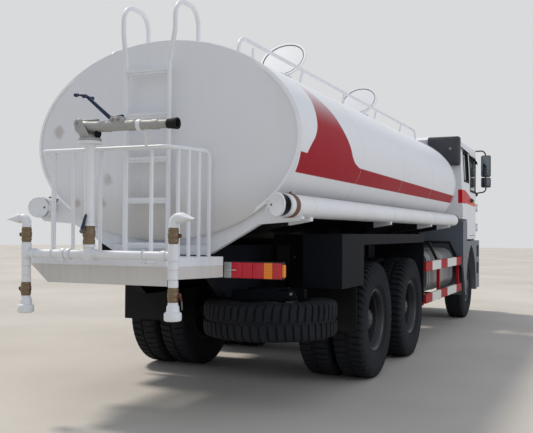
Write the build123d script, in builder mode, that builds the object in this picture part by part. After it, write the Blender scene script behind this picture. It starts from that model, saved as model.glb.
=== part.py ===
"""Water sprinkler tanker truck, 6x4 cab over engine, in millimetres.

X runs forward, Y to the vehicle's left and Z up from the ground. The origin is
on the ground under the middle of the overall length and width.
"""
from build123d import *
import os
from math import sqrt

os.makedirs("parts", exist_ok=True)

# Overall layout, from the rear forwards
rear_overhang = 2795
bogie_pitch = 1450
half_width = 1250
tank_set = 2020
tank_length = 6400
tank_cab_gap = 470
cab_set = 1100
front_overhang = 1435
overall_length = rear_overhang - tank_set + tank_length + tank_cab_gap + cab_set + front_overhang
rear_x = -overall_length / 2
front_x = overall_length / 2
rear_axle_x = rear_x + rear_overhang
mid_axle_x = rear_axle_x + bogie_pitch
bogie_x = (rear_axle_x + mid_axle_x) / 2
tank_rear_x = rear_axle_x - tank_set
tank_front_x = tank_rear_x + tank_length
cab_rear_x = tank_front_x + tank_cab_gap
front_axle_x = cab_rear_x + cab_set

# Tyres and wheels
tyre_r = 562.5
tyre_w = 300
rim_r = 286
rim_well_r = 250
twin_pitch = 345
rear_track_y = half_width - 320
front_track_y = half_width - 260
running_gap = 0.3
swing_gap = 6

# Chassis
rail_y = 430
rail_flange = 80
rail_h = 280
rail_bottom = 870
rail_top = rail_bottom + rail_h
rail_wall = 10
rail_front_x = front_x - 355
rail_rear_x = tank_rear_x - 65
taper_x = rear_axle_x - 1900
tail_rail_bottom = 1050

# Tank
tank_z = 2144
tank_a = 1216
tank_b = 800
tank_rim = 8
tank_rim_w = 30
dish_r = 9000
dish_bulge = 62
neck_r = 250
neck_wall = 10
neck_top = tank_z + tank_b + 122
lid_r = 272
lid_t = 14
lid_open = 125
lid_gap = 6
neck_x = (tank_rear_x + 2110, tank_front_x - 1420)

# Cab
cab_front_x = front_x - 125
cab_wall = 55
cab_floor_z = 1320
cab_deck_z = 1640
cab_deck_x = cab_rear_x + 500
cab_nose_z = 1050
cab_nose_x = cab_front_x - 210
cab_roof_z = 2955
cab_cant_z = cab_roof_z - 155
cab_nose_y = half_width - 170
pillar_x = cab_front_x - 430
door_w = 1140
door_front_x = cab_front_x - 460
door_rear_x = door_front_x - door_w
door_top_z = cab_cant_z - 60
door_sill_z = cab_floor_z + cab_wall
waist_z = 2130
tunnel_y = 450
engine_half_y = 330
cab_pivot = (front_x - 185, 980)
cab_pin_r = 18
hinge_z = (1520, 1870)
hinge_r = 11
hinge_y = half_width - 78

# Front axle and steering
kingpin_y = front_track_y - 210
kingpin_r = 24
beam_z = 545
eye_h = 120
tie_arm = 180
tie_drop = 105
spindle_r = 40
rear_spindle_r = 50
arch_gap = 127.5
arch_r = tyre_r + arch_gap

# Rear platform
deck_z = 1220
deck_rear_x = tank_rear_x - 535
deck_front_x = tank_rear_x + 15
deck_left = 840
deck_right = -400
deck_flare = -572
deck_t = 8
deck_lip = 18
apron_bottom = 1015
apron_side_z = 1060
rail_tube_r = 17
post_r = 11
rail_z = 2030

# Spray pipes
flange_r = 85
pipe_x = rear_x + flange_r
pipe_r = 32
pipe_z = 1242
pipe_left = 749
pipe_right = -545
riser_y = 170
riser_r = 38
shower_r = 75
shower_z = 790
flange_z = 2070
nod_y = 235
cannon_z = 2195
cannon_r = 28
cannon_end = -590

# Hose tubes
hose_y = half_width - 100
hose_z = 1610
hose_r = 87
hose_wall = 6
hose_rear_x = tank_rear_x - 205
hose_left_rear_x = hose_rear_x + 160
hose_front_x = tank_front_x + 228
cap_t = 14
cap_gap = 7
cap_open = 25


def save(part, name):
    """Names a finished piece and writes it."""
    part.label = name
    export_step(part, f"parts/{name}.step")


def block(x0, x1, y0, y1, z0, z1, mode=Mode.ADD):
    """A block between two values along each axis."""
    with Locations(((x0 + x1) / 2, (y0 + y1) / 2, (z0 + z1) / 2)):
        Box(abs(x1 - x0), abs(y1 - y0), abs(z1 - z0), mode=mode)


def rod(start, end, radius, mode=Mode.ADD):
    """A round bar between two points."""
    run = Vector(*end) - Vector(*start)
    with BuildSketch(Plane(origin=start, z_dir=run)) as section:
        Circle(radius)
    extrude(section.sketch, amount=run.length, mode=mode)


def bent_tube(points, radius, bend):
    """A round bar along straight runs joined by arcs."""
    with BuildLine() as path:
        FilletPolyline(*points, radius=bend)
    with BuildSketch(Plane(origin=path.line @ 0, z_dir=path.line % 0)) as section:
        Circle(radius)
    sweep(section.sketch, path=path.line)


def side_plate(points, y0, y1, mode=Mode.ADD):
    """A plate with an outline in X and Z, between two values of Y."""
    with BuildSketch(Plane.XZ.offset(-y0)) as outline:
        Polygon(*points, align=None)
    extrude(outline.sketch, amount=y0 - y1, mode=mode)


def spin_about_y(points, x, z, mode=Mode.ADD):
    """A turned shape with an outline in Y and radius, about an axis along Y."""
    with BuildSketch(Plane(origin=(x, 0, z), x_dir=(0, 1, 0), z_dir=(1, 0, 0))) as outline:
        Polygon(*points, align=None)
    revolve(outline.sketch, axis=Axis((x, 0, z), (0, 1, 0)), mode=mode)


def tank_bottom(y):
    """Height of the tank's underside at a distance from its middle."""
    return tank_z - tank_b * sqrt(1 - (y / tank_a) ** 2)


def tank_top(y):
    """Height of the tank's upper side at a distance from its middle."""
    return 2 * tank_z - tank_bottom(y)


# Chassis rails, with a shallower tail behind the spare wheel
with BuildPart() as chassis_rails:
    rail_outline = [
        (rail_rear_x, tail_rail_bottom), (taper_x, tail_rail_bottom), (taper_x + 250, rail_bottom),
        (rail_front_x, rail_bottom), (rail_front_x, rail_top), (rail_rear_x, rail_top),
    ]
    side_plate(rail_outline, -rail_y, -rail_y + rail_flange)
    rail_hollow = [
        (rail_rear_x - 5, tail_rail_bottom + rail_wall), (taper_x, tail_rail_bottom + rail_wall),
        (taper_x + 250, rail_bottom + rail_wall), (rail_front_x + 5, rail_bottom + rail_wall),
        (rail_front_x + 5, rail_top - rail_wall), (rail_rear_x - 5, rail_top - rail_wall),
    ]
    side_plate(rail_hollow, -rail_y + rail_wall, -rail_y + rail_flange + 5, mode=Mode.SUBTRACT)
    mirror(about=Plane.XZ)
save(chassis_rails.part, "chassis_rails")

# Cross members between the rails, the spare wheel's carrier and the cab's rest
spare_x = rear_axle_x - 1370
spare_y = -700
spare_z = 700
spare_top = spare_z + tyre_w / 2
cross_x = (rail_rear_x + 45, rear_axle_x - 900, bogie_x, mid_axle_x + 900, front_axle_x - 2200,
           front_axle_x - 1200, rail_front_x - 80)
cross_z = (rail_top - 85, rail_top - 15)
web_y = rail_y - rail_wall
with BuildPart() as cross_members:
    for x in cross_x:
        block(x - 40, x + 40, -web_y, web_y, *cross_z)
    for x in (spare_x - 150, spare_x + 150):
        block(x - 30, x + 30, spare_y - 260, -rail_y, spare_top + running_gap, spare_top + 80)
    block(spare_x - 180, spare_x + 180, spare_y - 90, spare_y + 90, spare_top + 80, spare_top + 88)
    rod((spare_x, spare_y, spare_top + 80), (spare_x, spare_y, spare_z), 18)
    rod((spare_x, spare_y, spare_z), (spare_x, spare_y, spare_z + 19.7), 60)
    for y in (-390, 390):
        block(cab_rear_x + 10, cab_rear_x + 60, y - 40, y + 40, rail_top, cab_deck_z - running_gap)
    block(cab_rear_x + 10, cab_rear_x + 60, -350, 350, 1520, 1580)
save(cross_members.part, "cross_members")

# Front bumper with a recess for the towing jaw
bumper_z = (500, 920)
jaw_pin_r = 20
bumper_back_x = front_x - 235
bumper_end_x = front_x - 145
bumper_y = half_width - 125
lamp_y = half_width - 300
jaw_x = front_x - 60
jaw_z = 690
jaw_half = 70
with BuildPart() as front_bumper:
    with BuildSketch(Plane.XY.offset(bumper_z[0])) as plan:
        with BuildLine():
            Polyline((bumper_end_x, -bumper_y), (bumper_back_x, -bumper_y), (bumper_back_x, bumper_y),
                     (bumper_end_x, bumper_y))
            ThreePointArc((bumper_end_x, bumper_y), (front_x, 0), (bumper_end_x, -bumper_y))
        make_face()
    extrude(amount=bumper_z[1] - bumper_z[0])
    fillet(front_bumper.edges().filter_by(Axis.Z).sort_by(Axis.X)[-2:], 60)
    block(front_x - 105, front_x + 10, -100, 100, jaw_z - 90, jaw_z + 90, mode=Mode.SUBTRACT)
    rod((jaw_x, 0, bumper_z[0] - 10), (jaw_x, 0, jaw_z), jaw_pin_r + 15, mode=Mode.SUBTRACT)
    for z0, z1 in ((jaw_z - jaw_half, jaw_z - 40), (jaw_z + 40, jaw_z + jaw_half)):
        block(front_x - 115, front_x - 22, -60, 60, z0, z1)
    rod((jaw_x, 0, jaw_z - 80), (jaw_x, 0, jaw_z + 80), jaw_pin_r, mode=Mode.SUBTRACT)
    for y in (-lamp_y, lamp_y):
        block(front_x - 155, front_x, y - 170, y + 170, 640, 810, mode=Mode.SUBTRACT)
    for y in (-380, 380):
        block(rail_front_x, bumper_back_x, y - 40, y + 40, rail_bottom, bumper_z[1])
        for ear_y in (y - 45, y + 45):
            block(cab_pivot[0] - 35, cab_pivot[0] + 35, ear_y - 10, ear_y + 10, bumper_z[1], cab_pivot[1] + 30)
        rod((cab_pivot[0], y - 50, cab_pivot[1]), (cab_pivot[0], y + 50, cab_pivot[1]), cab_pin_r)
save(front_bumper.part, "front_bumper")

# Head lamps in the bumper and tail lamps on their bars
tail_lamp = dict(x=tank_rear_x + 70, y0=-1088, y1=-536, z0=1050, z1=1180)
with BuildPart() as lamps:
    for y in (-lamp_y, lamp_y):
        block(front_x - 155, front_x - 90, y - 165, y + 165, 645, 805)
    block(tail_lamp["x"], tail_lamp["x"] + 70, tail_lamp["y0"], tail_lamp["y1"], tail_lamp["z0"], tail_lamp["z1"])
    block(tail_lamp["x"] + 70, tail_lamp["x"] + 110, tail_lamp["y0"] + 60, -rail_y, 1090, 1140)
    mirror(about=Plane.XZ)
save(lamps.part, "lamps")

# Engine with its gearbox as one block, and the shaft to the first rear axle
engine_x = (front_axle_x - 200, front_x - 535)
with BuildPart() as engine_block:
    block(*engine_x, -engine_half_y, engine_half_y, 720, 1500)
    block(engine_x[0] - 800, engine_x[0], -220, 220, 700, 1100)
    for x in (engine_x[0] + 150, engine_x[1] - 150):
        block(x - 50, x + 50, -rail_y + 20, rail_y - 20, rail_top, rail_top + 30)
    rod((engine_x[0] - 800, 0, 880), (mid_axle_x + 260, 0, 620), 55)
save(engine_block.part, "engine_block")

# Front axle beam with an eye for each king pin
with BuildPart() as front_axle:
    with BuildSketch(Plane.XY.offset(beam_z - 45)):
        Rectangle(110, 2 * kingpin_y)
        with Locations((0, -kingpin_y), (0, kingpin_y)):
            Circle(58)
    extrude(amount=90)
    with Locations((0, -kingpin_y, beam_z), (0, kingpin_y, beam_z)):
        Cylinder(58, eye_h)
        Cylinder(kingpin_r + running_gap, eye_h + 20, mode=Mode.SUBTRACT)
    for y in (-400, 400):
        block(-80, 80, y - 60, y + 60, beam_z + 45, beam_z + 60)
save(front_axle.part.moved(Location((front_axle_x, 0, 0))), "front_axle")

# Leaf springs: a pair at the front and a pair on the bogie's trunnion
spring_w = 80
spring_y = rail_y - rail_flange / 2
front_spring_half = 800
seat_half = 90
bogie_spring_half = bogie_pitch / 2 + seat_half
bogie_seat_x = bogie_pitch / 2 - seat_half
bogie_spring_z = 700
leaf_end_t = 40
with BuildPart() as leaf_springs:
    for side in (-1, 1):
        y = side * spring_y
        front_leaf = [
            (front_axle_x - front_spring_half, 740), (front_axle_x, beam_z + 60),
            (front_axle_x + front_spring_half, 740),
        ]
        with BuildSketch(Plane.XZ.offset(-y - spring_w / 2)) as leaves:
            with BuildLine():
                ThreePointArc(*front_leaf)
                Line(front_leaf[2], (front_leaf[2][0], 765))
                ThreePointArc((front_leaf[2][0], 765), (front_axle_x, beam_z + 145), (front_leaf[0][0], 765))
                Line((front_leaf[0][0], 765), front_leaf[0])
            make_face()
        extrude(leaves.sketch, amount=spring_w)
        for x in (front_leaf[0][0] + 20, front_leaf[2][0] - 20):
            block(x - 30, x + 30, y - 38, y + 38, 750, rail_bottom)
        with BuildSketch(Plane.XZ.offset(-y - spring_w / 2)) as pack:
            with BuildLine():
                Polyline(
                    (bogie_x - bogie_spring_half, bogie_spring_z - leaf_end_t),
                    (bogie_x - bogie_seat_x, bogie_spring_z - leaf_end_t), (bogie_x - 150, bogie_spring_z - 110),
                    (bogie_x + 150, bogie_spring_z - 110), (bogie_x + bogie_seat_x, bogie_spring_z - leaf_end_t),
                    (bogie_x + bogie_spring_half, bogie_spring_z - leaf_end_t),
                    (bogie_x + bogie_spring_half, bogie_spring_z), (bogie_x + 150, bogie_spring_z + 70),
                    (bogie_x - 150, bogie_spring_z + 70), (bogie_x - bogie_spring_half, bogie_spring_z),
                    close=True,
                )
            make_face()
        extrude(pack.sketch, amount=spring_w)
        block(bogie_x - 110, bogie_x + 110, y - 38, y + 38, bogie_spring_z + 70, rail_bottom)
save(leaf_springs.part, "leaf_springs")

# Rear axles: a banjo housing, tubes, spindles and spring seats
with BuildPart() as rear_axles:
    for x in (rear_axle_x, mid_axle_x):
        with Locations((x, 0, tyre_r)):
            Sphere(215)
        rod((x, -rear_track_y + 330, tyre_r), (x, rear_track_y - 330, tyre_r), 75)
        rod((x, -rear_track_y - 80, tyre_r), (x, rear_track_y + 80, tyre_r), rear_spindle_r)
        for side in (-1, 1):
            y = side * spring_y
            block(x - 70, x + 70, y - 50, y + 50, tyre_r + 40, bogie_spring_z - leaf_end_t - running_gap)
    rod((rear_axle_x + 180, 0, 600), (mid_axle_x - 180, 0, 600), 50)
save(rear_axles.part, "rear_axles")

# Fuel tank, D shaped, on two brackets with straps
fuel_x = (mid_axle_x + 1470, front_axle_x - 1130)
fuel_y = (-half_width + 150, -520)
fuel_z = (600, 1180)
fuel_r = 160
with BuildPart() as fuel_tank:
    with BuildSketch(Plane.YZ.offset(fuel_x[0])):
        with BuildLine():
            Polyline((fuel_y[0] + fuel_r, fuel_z[0]), (fuel_y[1], fuel_z[0]), (fuel_y[1], fuel_z[1]),
                     (fuel_y[0] + fuel_r, fuel_z[1]))
            RadiusArc((fuel_y[0] + fuel_r, fuel_z[1]), (fuel_y[0], fuel_z[1] - fuel_r), -fuel_r)
            Line((fuel_y[0], fuel_z[1] - fuel_r), (fuel_y[0], fuel_z[0] + fuel_r))
            RadiusArc((fuel_y[0], fuel_z[0] + fuel_r), (fuel_y[0] + fuel_r, fuel_z[0]), -fuel_r)
        make_face()
    extrude(amount=fuel_x[1] - fuel_x[0])
    for x in (fuel_x[0] + 350, fuel_x[1] - 350):
        block(x - 60, x + 60, fuel_y[1], -rail_y, 880, 1140)
    rod((fuel_x[0] + 700, -800, fuel_z[1] - 10), (fuel_x[0] + 700, -800, fuel_z[1] + 45), 55)
save(fuel_tank.part, "fuel_tank")

# Battery box and two air tanks on the left
with BuildPart() as battery_box:
    block(fuel_x[1] - 650, fuel_x[1], 500, half_width - 130, 640, 1080)
    for y in (700, 985):
        rod((fuel_x[0], y, 900), (fuel_x[1] - 770, y, 900), 130)
    for x in (fuel_x[0] + 200, fuel_x[1] - 970):
        block(x - 25, x + 25, rail_y, 1000, 1010, 1060)
    for x in (fuel_x[1] - 550, fuel_x[1] - 100):
        block(x - 25, x + 25, rail_y, 500, 900, 1000)
save(battery_box.part, "battery_box")

# Side guards: two rails and three posts hung from struts
guard_y = -half_width + 30
guard_t = 40
guard_x = (mid_axle_x + 880, mid_axle_x + 1950, front_axle_x - 1030)
guard_rails = ((930, 1050), (525, 640))
strut_top_z = 1290
with BuildPart() as side_guards:
    for z0, z1 in guard_rails:
        block(guard_x[0], guard_x[2], guard_y, guard_y + guard_t, z0, z1)
    for x in (guard_x[0] + 30, guard_x[1], guard_x[2] - 30):
        block(x - 30, x + 30, guard_y + guard_t, guard_y + guard_t + 40, 500, 1060)
        side = Plane.YZ.offset(x - 20)
        with BuildSketch(side) as strut:
            Polygon((guard_y + 40, 1000), (guard_y + 80, 1000), (guard_y + 200, strut_top_z - 40),
                    (-rail_y, strut_top_z - 40), (-rail_y, strut_top_z), (guard_y + 180, strut_top_z), align=None)
        extrude(strut.sketch, amount=40)
        block(x - 20, x + 20, -rail_y - 40, -rail_y, rail_top - 120, strut_top_z)
    mirror(about=Plane.XZ)
save(side_guards.part, "side_guards")

# Box fenders over the rear wheels, with mud flaps
fender_x = (rear_axle_x - 1090, mid_axle_x + 660)
fender_top = 1400
fender_in = -rear_track_y + 310
flap_y = (-half_width + 12, -rear_track_y + 340)
plate = 10
with BuildPart() as rear_fenders:
    block(*fender_x, fender_in, -half_width + 10, fender_top - plate, fender_top)
    block(*fender_x, -half_width + 10, -half_width + 20, fender_top - 100, fender_top)
    block(fender_x[0], fender_x[0] + plate, -half_width + 370, -half_width + 10, 930, fender_top)
    block(fender_x[0], fender_x[0] + 640, -half_width + 10, -half_width + 20, 930, fender_top)
    block(fender_x[1] - plate, fender_x[1], fender_in, -half_width + 10, 570, fender_top)
    block(fender_x[0] + 420, fender_x[0] + 430, *flap_y, 520, 1300)
    for x in (fender_x[0] + 425, bogie_x, fender_x[1] - 60):
        block(x - 30, x + 30, -rail_y, fender_in - 380, fender_top - 110, fender_top - plate)
        block(x - 30, x + 30, -rail_y - 40, -rail_y, rail_top - 120, fender_top - plate)
    mirror(about=Plane.XZ)
save(rear_fenders.part, "rear_fenders")


def tyre_outline(y):
    """The section of a tyre centred at y, as points of Y and radius."""
    w = tyre_w / 2
    return [
        (y - w + 40, rim_r), (y - w + 6, rim_r + 60), (y - w, tyre_r - 120), (y - w + 22, tyre_r - 22),
        (y - w + 45, tyre_r), (y + w - 45, tyre_r), (y + w - 22, tyre_r - 22), (y + w, tyre_r - 120),
        (y + w - 6, rim_r + 60), (y + w - 40, rim_r),
    ]


# Spare wheel, lying flat under its carrier
with BuildPart() as spare_wheel:
    with BuildSketch(Plane.XZ) as section:
        Polygon(*[(r, y) for y, r in tyre_outline(0)], align=None)
        Polygon((rim_well_r, -tyre_w / 2 + 40), (rim_r, -tyre_w / 2 + 40), (rim_r, tyre_w / 2 - 40),
                (rim_well_r, tyre_w / 2 - 40), align=None)
        Polygon((90, 20), (rim_well_r, 20), (rim_well_r, 36), (90, 36), align=None)
        Polygon((22, 20), (90, 20), (90, 36), (22, 36), align=None)
    revolve(axis=Axis.Z)
save(spare_wheel.part.moved(Location((spare_x, spare_y, spare_z))), "spare_wheel")

# Sub-frame and saddles under the tank
saddle_x = (bogie_x - 300, bogie_x + 1000, mid_axle_x + 1600, tank_front_x - 120)
with BuildPart() as tank_saddles:
    block(tank_rear_x + 20, tank_front_x - 20, -rail_y, -rail_y + 80, rail_top, rail_top + 150)
    block(tank_rear_x + 20, tank_front_x - 20, rail_y - 80, rail_y, rail_top, rail_top + 150)
    for x in saddle_x:
        with BuildSketch(Plane.YZ.offset(x - 60)) as cradle:
            Polygon((-800, 1640), (-520, rail_top + 150), (520, rail_top + 150), (800, 1640), align=None)
            with Locations((0, tank_z)):
                Ellipse(tank_a, tank_b, mode=Mode.SUBTRACT)
        extrude(cradle.sketch, amount=120)
save(tank_saddles.part, "tank_saddles")

# Tank with a rolled rim and a dished end at each end
with BuildPart() as tank:
    with BuildSketch(Plane.YZ.offset(tank_rear_x - 300)):
        with Locations((0, tank_z)):
            Ellipse(tank_a, tank_b)
    extrude(amount=tank_length + 600)
    with Locations((tank_rear_x - dish_bulge + dish_r, 0, tank_z)):
        Sphere(dish_r, mode=Mode.INTERSECT)
    with Locations((tank_front_x + dish_bulge - dish_r, 0, tank_z)):
        Sphere(dish_r, mode=Mode.INTERSECT)
    for x in (tank_rear_x, tank_front_x - tank_rim_w):
        with BuildSketch(Plane.YZ.offset(x)) as hoop:
            with Locations((0, tank_z)):
                Ellipse(tank_a + tank_rim, tank_b + tank_rim)
        extrude(hoop.sketch, amount=tank_rim_w)
save(tank.part, "tank")

# Rear saddle: a panel under the tank's end that carries both hose tubes
rear_saddle_x = (tank_rear_x + 35, tank_rear_x + 95)
rear_saddle_edge = [
    (0, rail_top + 150), (-rail_y, rail_top + 150), (-rail_y, 1237), (-444, 1237), (-867, 1472),
    (-hose_y - 37, 1496), (-hose_y - 65, 1512), (-hose_y - 65, 1530), (-hose_y + 60, 1600), (-900, 1900), (0, 1900),
]
with BuildPart() as rear_saddle:
    with BuildSketch(Plane.YZ.offset(rear_saddle_x[0])) as panel:
        Polygon(*rear_saddle_edge, align=None)
    extrude(panel.sketch, amount=rear_saddle_x[1] - rear_saddle_x[0])
    rod((rear_saddle_x[0] - 5, -hose_y, hose_z), (rear_saddle_x[1] + 5, -hose_y, hose_z), hose_r + running_gap,
        mode=Mode.SUBTRACT)
    add(tank.part, mode=Mode.SUBTRACT)
    mirror(about=Plane.XZ)
save(rear_saddle.part, "rear_saddle")

# Manhole necks, each with two hinge ears towards the front
lid_hinge_x = [x + neck_r + 45 for x in neck_x]
lid_hinge_z = neck_top + 20
with BuildPart() as manhole_necks:
    for x, hinge_x in zip(neck_x, lid_hinge_x):
        with BuildSketch(Plane.XY.offset(tank_z)) as ring:
            with Locations((x, 0)):
                Circle(neck_r)
                Circle(neck_r - neck_wall, mode=Mode.SUBTRACT)
        extrude(ring.sketch, amount=neck_top - tank_z)
        for y in (-60, 60):
            side_plate([(x + neck_r - 12, neck_top - 60), (hinge_x + 16, neck_top - 60),
                        (hinge_x + 16, lid_hinge_z + 16), (hinge_x - 14, lid_hinge_z + 16),
                        (hinge_x - 14, neck_top - 3), (x + neck_r - 12, neck_top - 3)], y - 8, y + 8)
    add(tank.part, mode=Mode.SUBTRACT)
    for hinge_x in lid_hinge_x:
        rod((hinge_x, -90, lid_hinge_z), (hinge_x, 90, lid_hinge_z), 8.3, mode=Mode.SUBTRACT)
save(manhole_necks.part, "manhole_necks")

# Lids, built shut and then turned open about their hinge pins
for name, x, hinge_x in zip(("rear", "front"), neck_x, lid_hinge_x):
    with BuildPart() as lid:
        with Locations((x, 0, neck_top + lid_gap + lid_t / 2)):
            Cylinder(lid_r, lid_t)
        with Locations((x, 0, neck_top + lid_gap + lid_t + 12)):
            Cylinder(40, 24)
        block(x + 100, hinge_x, -40, 40, neck_top + lid_gap + 2, lid_hinge_z + 10)
        rod((hinge_x, -76, lid_hinge_z), (hinge_x, 76, lid_hinge_z), 8)
    turned = lid.part.rotate(Axis((hinge_x, 0, lid_hinge_z), (0, 1, 0)), lid_open)
    save(turned, f"manhole_lid_{name}")

# Hand rails along the tank's top
top_rail_y = 610
top_rail_z = tank_top(top_rail_y) + 144
top_foot_y = top_rail_y - 35
top_rail_x = (tank_rear_x + 175, tank_front_x - 22)
top_post_pitch = 1300
top_posts = [tank_rear_x + 1605 + k * top_post_pitch for k in range(4)]
with BuildPart() as top_rails:
    rail_foot = tank_top(top_rail_y) - 40
    bent_tube([(top_rail_x[0], -top_rail_y, rail_foot), (top_rail_x[0], -top_rail_y, top_rail_z),
               (top_rail_x[1], -top_rail_y, top_rail_z), (top_rail_x[1], -top_rail_y, rail_foot)], rail_tube_r, 130)
    for x in top_posts:
        side = Plane.YZ.offset(x - 18)
        with BuildSketch(side) as flat_bar:
            foot = (-top_foot_y, tank_top(top_foot_y) - 12)
            Polygon((foot[0] - 6, foot[1]), (foot[0] + 6, foot[1]), (-top_rail_y + 6, top_rail_z),
                    (-top_rail_y - 6, top_rail_z), align=None)
        extrude(flat_bar.sketch, amount=36)
    add(tank.part, mode=Mode.SUBTRACT)
    mirror(about=Plane.XZ)
save(top_rails.part, "top_rails")

# Ladder with hoops that land on the tank's top
ladder_x = tank_rear_x - 130
ladder_y = (-160, 240)
ladder_rungs = (1310, 1665, 1990, 2340, 2690)
hoop_top = 3230
hoop_spread = (-78, 0)
hoop_back_x = ladder_x - 45
hoop_front_x = ladder_x + 320
with BuildPart() as ladder:
    for y, spread in zip(ladder_y, hoop_spread):
        top_y = y + spread
        bent_tube([(ladder_x, y, deck_z), (ladder_x, y, ladder_rungs[-1] + 60), (hoop_back_x, top_y, hoop_top - 240),
                   (hoop_back_x, top_y, hoop_top), (hoop_front_x, top_y, hoop_top),
                   (hoop_front_x, top_y, tank_top(top_y) - 60)], 19, 140)
    for z in ladder_rungs:
        block(ladder_x - 20, ladder_x + 20, ladder_y[0], ladder_y[1], z - 12, z + 12)
    add(tank.part, mode=Mode.SUBTRACT)
save(ladder.part, "ladder")

# Hose tubes, open at the rear, each with two hinge ears on the side towards the tank
cap_x = hose_rear_x - cap_gap - cap_t / 2
cap_hinge_y = -hose_y + hose_r + 12
ear_y = -hose_y + hose_r


def hose_tube(rear_x):
    """The right tube from its open end at rear_x, with the ears of its cap."""
    pin_x = rear_x - cap_gap - cap_t / 2
    with BuildPart() as tube:
        with BuildSketch(Plane.YZ.offset(rear_x)) as round_tube:
            with Locations((-hose_y, hose_z)):
                Circle(hose_r)
        extrude(round_tube.sketch, amount=hose_front_x - rear_x)
        with BuildSketch(Plane.YZ.offset(rear_x)) as hollow:
            with Locations((-hose_y, hose_z)):
                Circle(hose_r - hose_wall)
        extrude(hollow.sketch, amount=hose_front_x - rear_x - 10, mode=Mode.SUBTRACT)
        for z in (hose_z - 30, hose_z + 30):
            with BuildSketch(Plane.XY.offset(z - 5)) as ear:
                Polygon((rear_x + 60, ear_y - 5.5), (rear_x + 2, ear_y - 5.5), (rear_x + 2, ear_y + 5),
                        (pin_x - 12, ear_y + 5), (pin_x - 12, ear_y + 26), (rear_x + 60, ear_y + 26), align=None)
            extrude(ear.sketch, amount=10)
        rod((pin_x, cap_hinge_y, hose_z - 40), (pin_x, cap_hinge_y, hose_z + 40), 5.3, mode=Mode.SUBTRACT)
    return tube.part


hose_right = hose_tube(hose_rear_x)
hose_left = mirror(hose_tube(hose_left_rear_x), about=Plane.XZ)
with BuildPart() as hose_tubes:
    add(hose_right)
    add(hose_left)
save(hose_tubes.part, "hose_tubes")

# Brackets from the tank that carry the hose tubes
hose_brackets_x = (tank_rear_x + 320, bogie_x, mid_axle_x + 1350, tank_front_x - 300)
with BuildPart() as hose_brackets:
    for x in hose_brackets_x:
        with BuildSketch(Plane.YZ.offset(x - 30)) as arm:
            Polygon((-hose_y - 40, hose_z - 70), (-hose_y - 40, hose_z - 110), (-860, hose_z - 170), (-640, 1410),
                    (-640, 1520), (-1000, 1720), (-hose_y + 60, hose_z), align=None)
        extrude(arm.sketch, amount=60)
        rod((x - 35, -hose_y, hose_z), (x + 35, -hose_y, hose_z), hose_r, mode=Mode.SUBTRACT)
    add(tank.part, mode=Mode.SUBTRACT)
    mirror(about=Plane.XZ)
save(hose_brackets.part, "hose_brackets")

# Hose tube caps, built shut and then turned ajar about their hinge pins
with BuildPart() as cap:
    with Locations((cap_x, -hose_y, hose_z)):
        Cylinder(hose_r, cap_t, rotation=(0, 90, 0))
    block(cap_x - 4, cap_x + 4, ear_y - 20, cap_hinge_y, hose_z - 24, hose_z + 24)
    rod((cap_x, cap_hinge_y, hose_z - 35), (cap_x, cap_hinge_y, hose_z + 35), 5)
ajar = cap.part.rotate(Axis((cap_x, cap_hinge_y, hose_z), (0, 0, -1)), cap_open)
save(ajar, "hose_cap_right")
ajar_left = mirror(ajar, about=Plane.XZ).moved(Location((hose_left_rear_x - hose_rear_x, 0, 0)))
with BuildPart() as cap_left:
    add(ajar_left)
save(cap_left.part, "hose_cap_left")

# Rear platform: a deck with a deep rear apron, cut off at its left corner, and a lip
deck_outline = [(deck_rear_x, deck_left), (deck_rear_x, deck_right), (deck_front_x, deck_flare),
                (deck_front_x, deck_left)]
with BuildPart() as rear_platform:
    with BuildSketch(Plane.XY.offset(apron_side_z)) as deck:
        Polygon(*deck_outline, align=None)
    extrude(deck.sketch, amount=deck_z - apron_side_z)
    with BuildSketch(Plane.XY.offset(apron_side_z - 1)) as inside:
        Polygon((deck_rear_x, deck_left - deck_t), (deck_rear_x, deck_right + deck_t),
                (deck_front_x + 5, deck_flare + deck_t), (deck_front_x + 5, deck_left - deck_t), align=None)
    extrude(inside.sketch, amount=deck_z - deck_t - apron_side_z + 1, mode=Mode.SUBTRACT)
    with BuildSketch(Plane.YZ.offset(deck_rear_x)) as apron:
        Polygon((deck_right, deck_z), (deck_right, apron_bottom), (deck_left - 170, apron_bottom),
                (deck_left, deck_z - 65), (deck_left, deck_z), align=None)
    extrude(apron.sketch, amount=deck_t)
    with BuildSketch(Plane.YZ.offset(deck_rear_x - 1)) as corner:
        Polygon((deck_left - 170, apron_bottom), (deck_left + 1, deck_z - 65), (deck_left + 1, apron_bottom), align=None)
    extrude(corner.sketch, amount=deck_front_x - deck_rear_x + 2, mode=Mode.SUBTRACT)
    block(deck_rear_x - deck_lip, deck_rear_x, deck_right, deck_left, deck_z - 60, deck_z - 15)
    for y in (-300, 300):
        block(deck_rear_x + deck_t, rail_rear_x, y - 30, y + 30, cross_z[0], cross_z[1])
        block(deck_rear_x + deck_t, rail_rear_x, y - 30, y + 30, cross_z[1], deck_z - deck_t)
save(rear_platform.part, "rear_platform")

# Railing round the platform
fence_x = deck_rear_x + 25
fence_right = deck_right + 29
fence_left = deck_left - 72
flare = (deck_flare - deck_right) / (deck_front_x - deck_rear_x)
rear_post_y = (636, 455, 202, -27, -248)
side_post_x = (fence_x + 115, fence_x + 215, fence_x + 315)
end_x = fence_x + 417
left_end_x = fence_x + 150


def fence_side(x):
    """The side rail's place at x, along the flared edge."""
    return fence_right + flare * (x - fence_x)


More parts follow.
